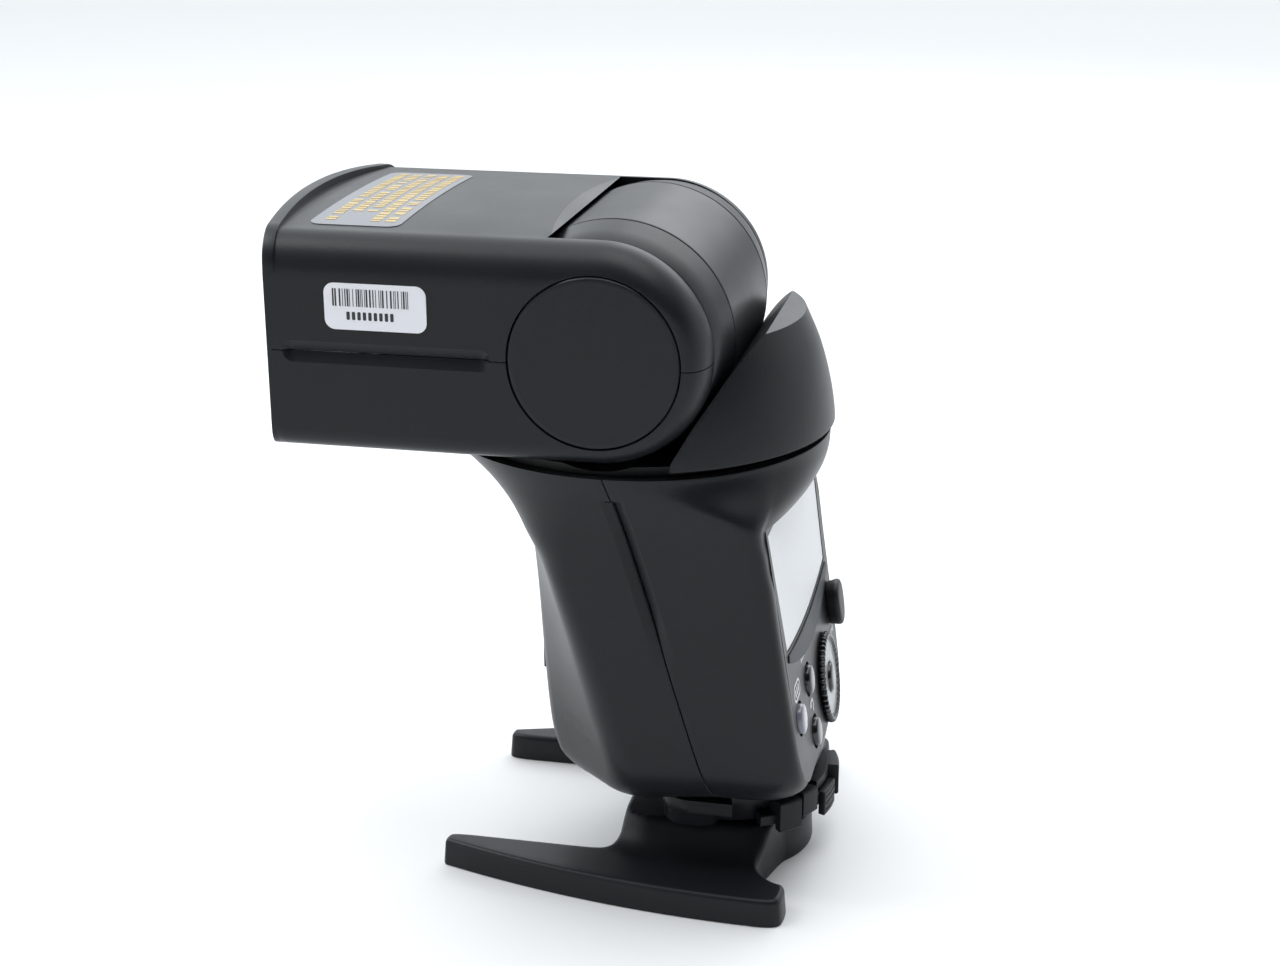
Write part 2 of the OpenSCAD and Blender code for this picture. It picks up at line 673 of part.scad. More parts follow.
module fresnel_lens() color([0.85, 0.88, 0.9]) on_pan() intersection() {
    translate([-lens_half_w, -62.6, lens_z[0]])
        cube([2 * lens_half_w, 62.6 - head_front - 0.6, lens_z[1] - lens_z[0]]);
    translate([0, front_r - bezel_front + 0.6, 0]) cylinder(h = 200, r = front_r, $fn = 256);
}

module wide_panel() color([0.85, 0.88, 0.9]) on_pan()
    translate([-28, -61.2, wide_z]) cube([56, 38, wide_t]);

module catchlight_panel() color("white") on_pan()
    translate([-27, -61.2, catch_z]) cube([54, 38, catch_t]);

module panel_tray() color(dark) on_pan() {
    translate([-34.6, -59.3, 120.4]) cube([69.2, 33, 0.9]);
    for (x = [-32, 30]) translate([x, -59.3, 121.3]) cube([2, 33, 4]);
}

// ---------- zoom unit ----------
zoom_z = 93.6;
rod_r = 0.9;
rod_x = 30;
reflector_z = 107;
carriage_y = -40.5;
carriage_t = 2;

module reflector() color([0.85, 0.85, 0.85]) on_pan() translate([0, -40.7, reflector_z]) rotate([90, 0, 90])
    translate([0, 0, -28]) linear_extrude(56) difference() {
        polygon([[-0, -5.2], [-7, -9.4], [-16, -11.4], [-16, 11.4], [-7, 9.4], [0, 5.2]]);
        polygon([[-1, -4.4], [-7.3, -8.5], [-17, -10.6], [-17, 10.6], [-7.3, 8.5], [-1, 4.4]]);
    }

module flash_tube() color([0.9, 0.92, 0.95]) on_pan() translate([0, -45.2, reflector_z]) along_x(58, 2);

module zoom_carriage() color(dark) on_pan() difference() {
    union() {
        translate([-33, carriage_y, 96.4]) cube([66, carriage_t, 22]);
        for (x = [-rod_x, 0, rod_x]) translate([x - 2, carriage_y, 92]) cube([4, carriage_t, 6]);
    }
    for (x = [-rod_x, 0, rod_x])
        translate([x, -30, zoom_z]) rotate([90, 0, 0]) cylinder(h = 20, r = rod_r + run);
}

module zoom_frame() color(steel) on_pan() difference() {
    union() {
        translate([-33, -58.6, 90.9]) cube([66, 33.8, 0.8]);
        translate([-33, -58.6, 90.9]) cube([66, 1, 4.2]);
        translate([-33, -25.8, 90.9]) cube([66, 1, 5.2]);
    }
    for (x = [-rod_x, rod_x]) translate([x, -20, zoom_z]) rotate([90, 0, 0]) cylinder(h = 60, r = rod_r);
    translate([0, -20, zoom_z]) rotate([90, 0, 0]) cylinder(h = 60, r = 1.2);
}

module zoom_rods() color(steel) on_pan()
    for (x = [-rod_x, rod_x]) translate([x, -24.8, zoom_z]) rotate([90, 0, 0]) cylinder(h = 33.8, r = rod_r);

module zoom_lead_screw() color(steel) on_pan() translate([0, -25.9, zoom_z]) rotate([90, 0, 0])
    cylinder(h = 31.6, r = rod_r);

module zoom_motor() color(steel) on_pan() translate([0, -22.3, zoom_z]) rotate([90, 0, 0])
    cylinder(h = 2.5, r = 2.6);

module head_board() color(pcb_green) on_pan() translate([-20, -50, 125.6]) cube([40, 22, 1.2]);

module top_label() color([0.55, 0.55, 0.6]) on_pan() intersection() {
    translate([-20, -58, 120]) cube([48, 20, 20]);
    rotate([90, 0, 0]) translate([0, head_top - 440, 30]) linear_extrude(40) difference() {
        circle(440.12, $fn = 256);
        circle(440, $fn = 256);
    }
}

module side_sticker() color("white") on_pan()
    translate([head_half_w, -49, 112]) cube([0.12, 19, 8.5]);

stand_base();
tripod_bush();
foot_plate();
contact_block();
foot_contacts();
foot_collar();
foot_screws();
lock_pin();
lock_lever();
lock_release_button();
base_plate();
front_shell();
rear_shell();
rear_panel();
lcd_window();
lcd_module();
af_assist_window();
sub_menu_button();
bounce_button();
back_button();
select_dial();
set_button();
power_lever();
battery_door();
door_hinge_pin();
batteries();
battery_contacts();
battery_tray();
main_board();
main_capacitor();
bearing_plate();
pan_motor();
pan_pinion();
pan_gear();
swivel_base();
neck_bracket();
neck_drum();
drum_collars();
rear_shroud();
hinge_axle();
tilt_motor();
head_top_shell();
head_bottom_shell();
head_bezel();
fresnel_lens();
hinge_cap_left();
hinge_cap_right();
wide_panel();
catchlight_panel();
panel_tray();
reflector();
flash_tube();
zoom_carriage();
zoom_frame();
zoom_rods();
zoom_lead_screw();
zoom_motor();
head_board();
top_label();
side_sticker();
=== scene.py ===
"""Looks for a flash unit on its mini stand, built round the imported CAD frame."""

import bisect
import math

import bmesh
import bpy
from mathutils import Matrix, Vector
from mathutils.geometry import delaunay_2d_cdt

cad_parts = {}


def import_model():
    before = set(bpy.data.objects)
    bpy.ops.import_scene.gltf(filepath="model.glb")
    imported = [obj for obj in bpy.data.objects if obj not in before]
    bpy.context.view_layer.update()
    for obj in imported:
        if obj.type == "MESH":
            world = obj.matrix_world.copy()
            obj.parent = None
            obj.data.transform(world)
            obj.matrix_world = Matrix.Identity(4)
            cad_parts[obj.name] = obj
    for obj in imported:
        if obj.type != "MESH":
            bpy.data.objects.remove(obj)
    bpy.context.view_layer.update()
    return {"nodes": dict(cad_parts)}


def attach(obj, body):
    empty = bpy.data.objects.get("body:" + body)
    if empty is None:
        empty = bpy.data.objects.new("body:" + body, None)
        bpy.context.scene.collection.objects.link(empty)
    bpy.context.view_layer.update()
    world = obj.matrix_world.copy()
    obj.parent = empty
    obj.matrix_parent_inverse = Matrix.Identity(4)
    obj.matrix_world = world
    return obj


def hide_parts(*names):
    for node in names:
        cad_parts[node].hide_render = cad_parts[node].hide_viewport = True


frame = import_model()
scene = bpy.context.scene
MM = 0.001
PAN_Y = -18.5  # the swivel's axis
HINGE_Z = 108.0  # the tilt hinge's axis


# ---------- mesh helpers (millimetres in, metres out) ----------
def make(name, verts, faces):
    me = bpy.data.meshes.new(name)
    me.from_pydata([(x * MM, y * MM, z * MM) for x, y, z in verts], [], faces)
    me.update()
    o = bpy.data.objects.new(name, me)
    scene.collection.objects.link(o)
    outward(o)
    return o


def outward(o):
    """Merges doubled points and turns every face outwards."""
    bm = bmesh.new()
    bm.from_mesh(o.data)
    bmesh.ops.remove_doubles(bm, verts=bm.verts, dist=1e-7)
    bmesh.ops.dissolve_degenerate(bm, edges=bm.edges, dist=1e-7)
    bmesh.ops.recalc_face_normals(bm, faces=bm.faces)
    bm.to_mesh(o.data)
    bm.free()


def bake(o):
    """Turns an object's modifiers into its mesh."""
    graph = bpy.context.evaluated_depsgraph_get()
    me = bpy.data.meshes.new_from_object(o.evaluated_get(graph))
    o.modifiers.clear()
    o.data = me
    return o


def boolean(o, cutter, op="DIFFERENCE"):
    m = o.modifiers.new("bool", "BOOLEAN")
    m.operation, m.object, m.solver = op, cutter, "EXACT"
    bake(o)
    bpy.data.objects.remove(cutter)
    return o


def smooth(o, angle=32, bevel=0.0, segments=2, limit=35, flat=12.0):
    """Rounds the sharp edges and shades smooth, but keeps faces larger than flat (square mm) flat.

    The rounded edges are marked in the face attribute "edge", where the materials paint them paler: a painted
    highlight, with some wear.
    """
    if bevel:
        m = o.modifiers.new("bevel", "BEVEL")
        m.width, m.segments, m.limit_method = bevel * MM, segments, "ANGLE"
        m.angle_limit = math.radians(limit)
        m.use_clamp_overlap = True
        m.miter_outer = "MITER_ARC"
        m.material = 1
        o.data.materials.clear()
        o.data.materials.append(None)
        o.data.materials.append(None)
        bake(o)
    me = o.data
    edge = me.attributes.new("edge", "FLOAT", "FACE")
    edge.data.foreach_set("value", [float(p.material_index == 1) for p in me.polygons])
    me.polygons.foreach_set("material_index", [0] * len(me.polygons))
    me.set_sharp_from_angle(angle=math.radians(angle))
    me.polygons.foreach_set("use_smooth", [p.area < flat * MM * MM for p in me.polygons])
    return o


def quads(n, rows, wrap=False):
    """Faces between rows of n points, each row closed on itself."""
    return [(k * n + i, k * n + (i + 1) % n, (k + 1) % rows * n + (i + 1) % n, (k + 1) % rows * n + i)
            for k in range(rows if wrap else rows - 1) for i in range(n)]


def loft(name, rings, wrap=False):
    """A solid through closed rings, capped at both ends unless the last ring joins the first."""
    n, m = len(rings[0]), len(rings)
    faces = quads(n, m, wrap)
    if not wrap:
        faces += [tuple(range(n)), tuple((m - 1) * n + i for i in range(n))]
    return make(name, [p for r in rings for p in r], faces)


def prism(name, outline, h0, h1, place):
    """A straight solid on an outline; place turns (u, v, w) into the frame's millimetres."""
    return loft(name, [[place(u, v, h) for u, v in outline] for h in (h0, h1)])


def revolve(name, profile, place, steps=128, start=0.0, turn=2 * math.pi):
    """Turns a closed profile of (radius, height) about its axis."""
    full = turn > 2 * math.pi - 1e-6
    rings = [[place(r * math.cos(a), r * math.sin(a), h) for r, h in profile]
             for a in (start + turn * i / steps for i in range(steps if full else steps + 1))]
    return loft(name, rings, wrap=full)


def sector(name, profile, a1, a2, steps):
    """Part of a turned ring about the foot's axis, between two angles in degrees."""
    return revolve(name, profile, world, steps, math.radians(a1), math.radians(a2 - a1))


def join(objects):
    first = objects[0]
    bm = bmesh.new()
    for o in objects:
        bm.from_mesh(o.data)
    bm.to_mesh(first.data)
    bm.free()
    for o in objects[1:]:
        bpy.data.objects.remove(o)
    return first


def box(name, x0, x1, y0, y1, z0, z1):
    return prism(name, [(x0, y0), (x1, y0), (x1, y1), (x0, y1)], z0, z1, world)


def arc(cx, cy, r, a0, a1, n):
    return [(cx + r * math.cos(math.radians(a0 + (a1 - a0) * i / n)),
             cy + r * math.sin(math.radians(a0 + (a1 - a0) * i / n))) for i in range(n + 1)]


def circle(cx, cy, r):
    return arc(cx, cy, r, 0, 354, 59)


def round_rect(cx, cy, w, d, r, n=8):
    pts = []
    for sx, sy, a in ((1, 1, 0), (-1, 1, 90), (-1, -1, 180), (1, -1, 270)):
        pts += arc(cx + sx * (w / 2 - r), cy + sy * (d / 2 - r), r, a, a + 90, n)
    return pts


def chaikin(pts, rounds, cut=0.25):
    """Cuts the corners of a closed outline, again and again, until it is round."""
    for _ in range(rounds):
        pts = [q for a, b in zip(pts, pts[1:] + pts[:1]) for q in
               ((a[0] + (b[0] - a[0]) * cut, a[1] + (b[1] - a[1]) * cut),
                (a[0] + (b[0] - a[0]) * (1 - cut), a[1] + (b[1] - a[1]) * (1 - cut)))]
    return pts


def inset(pts, d):
    """Moves a counter-clockwise outline inwards by d."""
    out = []
    n = len(pts)
    for i in range(n):
        a, b, c = pts[i - 1], pts[i], pts[(i + 1) % n]
        e0 = Vector((b[0] - a[0], b[1] - a[1])).normalized()
        e1 = Vector((c[0] - b[0], c[1] - b[1])).normalized()
        n0, n1 = Vector((-e0.y, e0.x)), Vector((-e1.y, e1.x))
        h = (n0 + n1).normalized()
        k = d / max(h.dot(n0), 0.5)
        out.append((b[0] + h.x * k, b[1] + h.y * k))
    return out


# ---------- places: each turns local millimetres into the frame's ----------
def world(x, y, z):
    return (x, y, z)


def on_pan(x, y, z):
    """From the swivel's axis."""
    return (x, y + PAN_Y, z)


def on_hinge(x, y, z):
    """From the middle of the tilt hinge."""
    return (x, y + PAN_Y, z + HINGE_Z)


def upright(u, v, w):
    """A drawing seen from the front: u across, v up, w to the rear of the swivel's axis."""
    return on_pan(u, w, v)


def across(u, v, w):
    """Axis along x through the hinge: u to the rear, v up, w along x."""
    return (w, u + PAN_Y, v + HINGE_Z)


def across_side(side):
    """The same, measured outwards to one side."""
    return lambda u, v, w: across(u, v, side * w)


PANEL_LEAN = math.radians(8.6)
PANEL_Y, PANEL_Z = PAN_Y + 36.6, 32


def on_panel(x, v, w):
    """On the sloped control panel: x to the right as its user sees it, v up the slope, w out of it."""
    sine, cosine = math.sin(PANEL_LEAN), math.cos(PANEL_LEAN)
    return (-x, PANEL_Y - v * sine + w * cosine, PANEL_Z + v * cosine + w * sine)


def panel_at(at):
    """The same, measured from a point of the panel."""
    return lambda u, v, w: on_panel(at[0] + u, at[1] + v, w)


# ---------- curves ----------
def step(a, b, x):
    """A smooth step from 0 at a to 1 at b."""
    t = min(1.0, max(0.0, (x - a) / (b - a)))
    return t * t * (3 - 2 * t)


def curve(*knots):
    """A smooth curve through the knots that never overshoots them."""
    xs, ys = [k[0] for k in knots], [k[1] for k in knots]
    n = len(xs)
    d = [(ys[i + 1] - ys[i]) / (xs[i + 1] - xs[i]) for i in range(n - 1)]
    inner = [0 if a * b <= 0 else 2 * a * b / (a + b) for a, b in zip(d, d[1:])]
    m = [d[0]] + inner + [d[-1]]

    def f(x):
        if x <= xs[0]:
            return ys[0]
        if x >= xs[-1]:
            return ys[-1]
        i = bisect.bisect_right(xs, x) - 1
        h = xs[i + 1] - xs[i]
        t = (x - xs[i]) / h
        return ((1 + 2 * t) * (1 - t) ** 2 * ys[i] + t * (1 - t) ** 2 * h * m[i]
                + t * t * (3 - 2 * t) * ys[i + 1] + t * t * (t - 1) * h * m[i + 1])
    return f


def draws(seed):
    """Repeatable random numbers from 0 to 1."""
    while True:
        seed = (seed * 1103515245 + 12345) % 2147483648
        yield seed / 2147483648


# ---------- materials ----------
CHARCOAL = (0.0092, 0.0102, 0.0122)
# the paler grey painted on rounded edges: a painted highlight, with some wear
EDGE_HIGHLIGHT_AND_WEAR = (0.30, 0.31, 0.33)
DUST = (0.42, 0.43, 0.45)
MATS = {}


def node(tree, kind, **values):
    """Adds a shader node; a value goes to the input of that name, or else to that setting."""
    n = tree.nodes.new(kind)
    for key, value in values.items():
        if key in n.inputs:
            n.inputs[key].default_value = value
        else:
            setattr(n, key, value)
    return n


def link(tree, a, out, b, into):
    tree.links.new(a.outputs[out], b.inputs[into])


def compared(tree, source, out, operation, limit):
    n = node(tree, "ShaderNodeMath", operation=operation)
    n.inputs[1].default_value = limit
    link(tree, source, out, n, 0)
    return n


def product(tree, a, a_out, b, b_out):
    n = node(tree, "ShaderNodeMath", operation="MULTIPLY")
    link(tree, a, a_out, n, 0)
    link(tree, b, b_out, n, 1)
    return n


def overlay(tree, under, factor, colour):
    """Lays a plain colour over another, as far as the factor says."""
    mix = node(tree, "ShaderNodeMix", data_type="RGBA")
    mix.inputs["B"].default_value = (*colour, 1)
    link(tree, factor, 0, mix, "Factor")
    link(tree, under, "Result", mix, "A")
    return mix


def paint_edge_highlight_and_wear(tree, under, broad, edge_highlight_and_wear):
    """A painted highlight along the rounded edges, partly wear: paler plastic, more in some places than in
    others.
    """
    at_edge = node(tree, "ShaderNodeAttribute", attribute_name="edge")
    edge_paling = node(tree, "ShaderNodeMapRange",
                **{"From Min": 0.35, "From Max": 0.7, "To Min": 0.2 * edge_highlight_and_wear, "To Max": edge_highlight_and_wear})
    link(tree, broad, "Fac", edge_paling, "Value")
    return overlay(tree, under, product(tree, at_edge, "Fac", edge_paling, "Result"), EDGE_HIGHLIGHT_AND_WEAR)


def dusted(tree, under, co, share):
    """Small pale specks in a share of the pattern's cells."""
    cells = node(tree, "ShaderNodeTexVoronoi", Scale=150.0)
    link(tree, co, "Object", cells, "Vector")
    parts = node(tree, "ShaderNodeSeparateColor")
    link(tree, cells, "Color", parts, "Color")
    middle = compared(tree, cells, "Distance", "LESS_THAN", 0.045)
    picked = compared(tree, parts, "Red", "GREATER_THAN", 1 - share)
    return overlay(tree, under, product(tree, middle, 0, picked, 0), DUST)


def scratched(tree, under, co, depth):
    """Fine brushed lines on top of another bump."""
    line = node(tree, "ShaderNodeTexWave", Scale=900.0, Distortion=3.0)
    link(tree, co, "Object", line, "Vector")
    bump = node(tree, "ShaderNodeBump", Strength=depth, Distance=0.00005)
    link(tree, line, "Fac", bump, "Height")
    link(tree, under, "Normal", bump, "Normal")
    return bump


def material(name, base, rough, metallic=0.0, grain=2600.0, bump=0.25, mottle=0.12, rough_var=0.08,
             specular=0.5, edge_highlight_and_wear=0.0, specks=0.0, coat=0.0, transmission=0.0, ior=1.5, scratches=0.0):
    m = bpy.data.materials.new(name)
    m.use_nodes = True
    tree = m.node_tree
    bsdf = tree.nodes["Principled BSDF"]
    co = node(tree, "ShaderNodeTexCoord")
    fine = node(tree, "ShaderNodeTexNoise", Scale=grain, Detail=3.0, Roughness=0.6)
    broad = node(tree, "ShaderNodeTexNoise", Scale=38.0, Detail=5.0, Roughness=0.6)
    for noise in (fine, broad):
        link(tree, co, "Object", noise, "Vector")
    # a gentle mottle between two close shades, then a painted edge highlight with some wear, and dust over it
    colour = node(tree, "ShaderNodeMix", data_type="RGBA")
    colour.inputs["A"].default_value = (*base, 1)
    colour.inputs["B"].default_value = (*(min(1.0, c * (1 + mottle) + 0.002) for c in base), 1)
    link(tree, broad, "Fac", colour, "Factor")
    if edge_highlight_and_wear:
        colour = paint_edge_highlight_and_wear(tree, colour, broad, edge_highlight_and_wear)
    if specks:
        colour = dusted(tree, colour, co, specks)
    link(tree, colour, "Result", bsdf, "Base Color")
    uneven = node(tree, "ShaderNodeMapRange", **{"To Min": rough - rough_var, "To Max": rough + rough_var})
    link(tree, broad, "Fac", uneven, "Value")
    link(tree, uneven, "Result", bsdf, "Roughness")
    relief = node(tree, "ShaderNodeBump", Strength=bump, Distance=0.00008)
    link(tree, fine, "Fac", relief, "Height")
    if scratches:
        relief = scratched(tree, relief, co, scratches)
    link(tree, relief, "Normal", bsdf, "Normal")
    for key, value in (("Metallic", metallic), ("Specular IOR Level", specular), ("IOR", ior),
                       ("Coat Weight", coat), ("Coat Roughness", 0.08),
                       ("Transmission Weight", transmission)):
        bsdf.inputs[key].default_value = value
    MATS[name] = m


# the rounded edges of these plastics are painted paler: a painted highlight, with some wear
material("charcoal_plastic", CHARCOAL, 0.36, edge_highlight_and_wear=0.3, specks=0.010, bump=0.3, specular=0.22)
material("dark_plastic", (0.007, 0.007, 0.008), 0.45, edge_highlight_and_wear=0.1, specular=0.3)
material("button_plastic", (0.008, 0.008, 0.009), 0.22, bump=0.08, coat=0.3)
material("wheel_silver", (0.33, 0.34, 0.35), 0.3, metallic=0.5, bump=0.1, mottle=0.1)
material("smoked_button", (0.17, 0.17, 0.21), 0.16, bump=0.04, coat=0.6, mottle=0.4)
material("red_window", (0.035, 0.001, 0.003), 0.1, bump=0.03, coat=0.2, mottle=0.5, specular=0.3)
material("display_glass", (0.66, 0.67, 0.69), 0.34, bump=0.02, mottle=0.04, specular=0.3)
material("steel", (0.55, 0.55, 0.57), 0.3, metallic=1.0, bump=0.15, scratches=0.05)
material("brass", (0.72, 0.52, 0.22), 0.28, metallic=1.0, bump=0.12, scratches=0.05)
material("circuit_board", (0.012, 0.09, 0.045), 0.4, grain=700, bump=0.2, mottle=0.6)
material("cell_wrap", (0.10, 0.16, 0.30), 0.3, bump=0.05, mottle=0.3, coat=0.3)
material("white_nylon", (0.72, 0.72, 0.68), 0.45, bump=0.1)
material("clear_panel", (0.86, 0.88, 0.9), 0.08, bump=0.05, transmission=0.92, ior=1.49)
material("tube_glass", (0.85, 0.87, 0.9), 0.05, bump=0.02, transmission=0.9, ior=1.46)
material("reflector_foil", (0.8, 0.8, 0.8), 0.18, metallic=1.0, bump=0.1)
material("white_card", (0.78, 0.78, 0.78), 0.4, bump=0.1)
material("silver_label", (0.16, 0.165, 0.185), 0.35, metallic=0.3, bump=0.08, mottle=0.2)
material("paper_label", (0.78, 0.78, 0.82), 0.42, bump=0.08, mottle=0.04)
material("gold_ink", (0.46, 0.34, 0.13), 0.4, metallic=0.2, bump=0.05)
material("black_ink", (0.02, 0.02, 0.022), 0.5, bump=0.05)
material("white_ink", (0.62, 0.62, 0.64), 0.5, bump=0.05)
# grey-blue colour that paints the sheen of the glossy black crescent under the display
material("apron_painted_sheen", (0.030, 0.034, 0.042), 0.5, bump=0.05, specular=0.2)
material("dial_gloss", (0.010, 0.010, 0.011), 0.24, bump=0.06, coat=0.3)
material("floor_paper", (0.80, 0.805, 0.81), 0.7, grain=900, bump=0.04, mottle=0.03, rough_var=0.05)


def paint(o, mat):
    o.data.materials.clear()
    o.data.materials.append(MATS[mat])


def piece(o, body, mat, *replaced, slot=None):
    """Finishes a piece: its material, the body it rides on and the nodes it replaces; its slot argument is
    not used.
    """
    paint(o, mat)
    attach(o, body)
    if replaced:
        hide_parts(*replaced)


def shell(o, body, *replaced):
    """A piece in the flash's own charcoal plastic."""
    piece(o, body, "charcoal_plastic", *replaced)


# ---------- camera ----------
LENS, DISTANCE = 59.569875, 0.41489
az, el, roll = math.radians(102.3777), math.radians(18.948), math.radians(-0.1816)
cam = bpy.data.objects.new("camera", bpy.data.cameras.new("camera"))
scene.collection.objects.link(cam)
scene.camera = cam
cam.data.sensor_width, cam.data.lens = 36, LENS
cam.data.clip_start, cam.data.clip_end = 0.02, 50
back = Vector((math.sin(az) * math.cos(el), -math.cos(az) * math.cos(el), math.sin(el)))
target = Vector((0, PAN_Y + 0.306, HINGE_Z - 34.166)) * MM
cam.location = target + back * DISTANCE
right = (-back).cross(Vector((0, 0, 1))).normalized()
up = right.cross(-back)
right, up = right * math.cos(roll) + up * math.sin(roll), up * math.cos(roll) - right * math.sin(roll)
cam.rotation_mode = "QUATERNION"
cam.rotation_quaternion = Matrix((right, up, back)).transposed().to_quaternion()


# ---------- light and floor ----------
def lamp(name, at, aim, size, power, colour=(1, 1, 1)):
    light = bpy.data.lights.new(name, "AREA")
    light.shape, light.size, light.size_y = "RECTANGLE", size[0], size[1]
    light.energy, light.color = power, colour
    o = bpy.data.objects.new(name, light)
    scene.collection.objects.link(o)
    o.location = at
    o.rotation_mode = "QUATERNION"
    o.rotation_quaternion = (Vector(aim) - Vector(at)).to_track_quat("-Z", "Y")


def room_light():
    """A wide soft light from above, and a sky that is bright across from the camera and dark behind it."""
    sun = bpy.data.objects.new("ceiling", bpy.data.lights.new("ceiling", "SUN"))
    sun.data.energy, sun.data.angle, sun.data.color = 0.35, math.radians(70), (0.97, 0.985, 1.0)
    sun.rotation_euler = (math.radians(-8), math.radians(-12), 0)
    scene.collection.objects.link(sun)
    scene.world = bpy.data.worlds.new("studio")
    scene.world.use_nodes = True
    tree = scene.world.node_tree
    co = node(tree, "ShaderNodeTexCoord")
    nearness = node(tree, "ShaderNodeVectorMath", operation="DOT_PRODUCT")
    nearness.inputs[1].default_value = (0.82, 0.56, -0.10)
    link(tree, co, "Generated", nearness, 0)
    level = node(tree, "ShaderNodeMapRange", interpolation_type="SMOOTHSTEP",
                 **{"From Min": -0.85, "From Max": 0.65, "To Min": 2.9, "To Max": 0.02})
    link(tree, nearness, "Value", level, "Value")
    tint = node(tree, "ShaderNodeVectorMath", operation="SCALE")
    tint.inputs[0].default_value = (0.93, 0.975, 1.01)
    link(tree, level, "Result", tint, "Scale")
    background = tree.nodes["Background"]
    link(tree, tint, "Vector", background, "Color")
    background.inputs["Strength"].default_value = 0.62


def floor_sweep():
    """A sheet of paper, flat under the object, that curves up into a low wall far from it."""
    flat, bend, wall, drop, around = 4000.0, 400.0, 700.0, 0.02, 96
    profile = [(0.0, -drop), (flat, -drop)]
    for i in range(1, 13):
        a = math.radians(7.5 * i)
        profile.append((flat + bend * math.sin(a), bend - bend * math.cos(a) - drop))
    profile.append((flat + bend, wall))
    turns = [2 * math.pi * i / around for i in range(around)]
    o = make("floor", [(r * math.cos(a), r * math.sin(a), z) for r, z in profile for a in turns],
             quads(around, len(profile)))
    o.data.polygons.foreach_set("use_smooth", [True] * len(o.data.polygons))
    paint(o, "floor_paper")
    paper = MATS["floor_paper"].node_tree.nodes["Principled BSDF"]
    paper.inputs["Emission Color"].default_value = (1, 1, 1, 1)
    paper.inputs["Emission Strength"].default_value = 0.06


scene.view_settings.view_transform = "Standard"
lamp("key", (0.0, 0.10, 1.0), (0, 0, 0.06), (0.6, 0.6), 3.6, (0.96, 0.98, 1.0))
lamp("rear_fill", (-0.3, 1.0, 0.40), (0, 0, 0.08), (0.8, 0.5), 0.6)
lamp("edge_light", (0.05, -0.52, 0.80), (0, 0, 0.10), (0.36, 0.36), 2.6)
lamp("drum_light", (-0.85, 0.15, 0.62), (0, 0, 0.10), (0.6, 0.6), 1.6)
lamp("front_fill", (0.72, -0.88, 0.28), (0, 0, 0.06), (0.6, 0.5), 0.9)
room_light()
floor_sweep()

# ---------- body casing: two half shells that meet at a leaning seam ----------
WALL = 2.0
SEAM_GAP = 0.07
GROOVE_HALF, GROOVE_DEPTH = 2.1, 1.35
NEAR_SEAM = [0, 0.1, 0.3, 0.7, 1.2, 1.7, 1.98, 2.14, 2.5]  # where points are close, along the section
FAR_FROM_SEAM = 3.0
FINE, COARSE = 240, 46
NECK_BLEND = 64
side_x = curve((16.5, 17.6), (18, 20.6), (20, 24.6), (23, 27.7), (27, 29.8), (32, 30.6), (60, 32.3),
               (74, 33.6), (81, 35.2), (87, 37.3))
ridge_x = curve((16.5, 21.5), (18, 24), (20, 26.4), (23, 28.3), (27, 29.8), (32, 30.3), (60, 31.9),
                (74, 33.4), (81, 35.2), (87, 37.3))
ridge_y = curve((16.5, 2.6), (18, 2), (24, 2.2), (36.6, -1), (48.5, -4.7), (60, -8.4), (68, -11), (74, -14),
                (87, -16))
nose_y = curve((16.5, -12.4), (18, -14.4), (20, -16.2), (26, -17.7), (37, -18.7), (58, -20), (66, -20.8),
               (72, -23.3), (77.7, -27.7), (87, -37.3))
rear_y = curve((16.5, 35.4), (18, 36.8), (20, 37.6), (24, 37.8), (32, 36.6), (64, 31.76), (70, 31.0),
               (74, 31.7), (78, 34.9), (81, 36.4), (84, 37.1), (87, 37.3))
rear_corner = curve((16.5, 13), (18, 12), (22, 8), (28, 4.5), (34, 3), (72, 3), (76, 3.6), (80, 5.5),
                    (84, 10), (87, 17))
rear_bulge = curve((16.5, 3), (20, 1.5), (24, 0), (64, 0), (70, 0.4), (74, 1.9), (78, 5), (87, 6))
LEVELS = sorted({16.5, 16.8, 17.2, 18, 19, 20, 21.2, 22.5, 24, 25.5, 27, 29, 32, 76.4, 77.0, 77.2, 77.4, 77.7,
                 78, 78.4, 79, 79.8, 80.5, 81.2, 81.5, 81.8, 82.1, 82.4, 82.7, 83.4, 84, 85, 86, 86.5, 87}
                | {34 + 1.5 * i for i in range(28)})


def seam_y(z):
    return 1.7 + (86 - z) * 0.2836


def bend(a, b, c, t):
    """A point of the curve from a to c that leans towards b."""
    return [(1 - t) ** 2 * a[i] + 2 * t * (1 - t) * b[i] + t * t * c[i] for i in (0, 1)]


def toward(a, b, d):
    n = math.hypot(b[0] - a[0], b[1] - a[1])
    return [a[i] + (b[i] - a[i]) * d / n for i in (0, 1)]


def lerp(a, b, t):
    return [a[i] + (b[i] - a[i]) * t for i in (0, 1)]


def quarter(s, end_y, t):
    """A quarter of the neck's round section, from the seam's point s to the middle."""
    return [s[0] * math.cos(math.pi / 2 * t), s[1] + (end_y - s[1]) * math.sin(math.pi / 2 * t)]


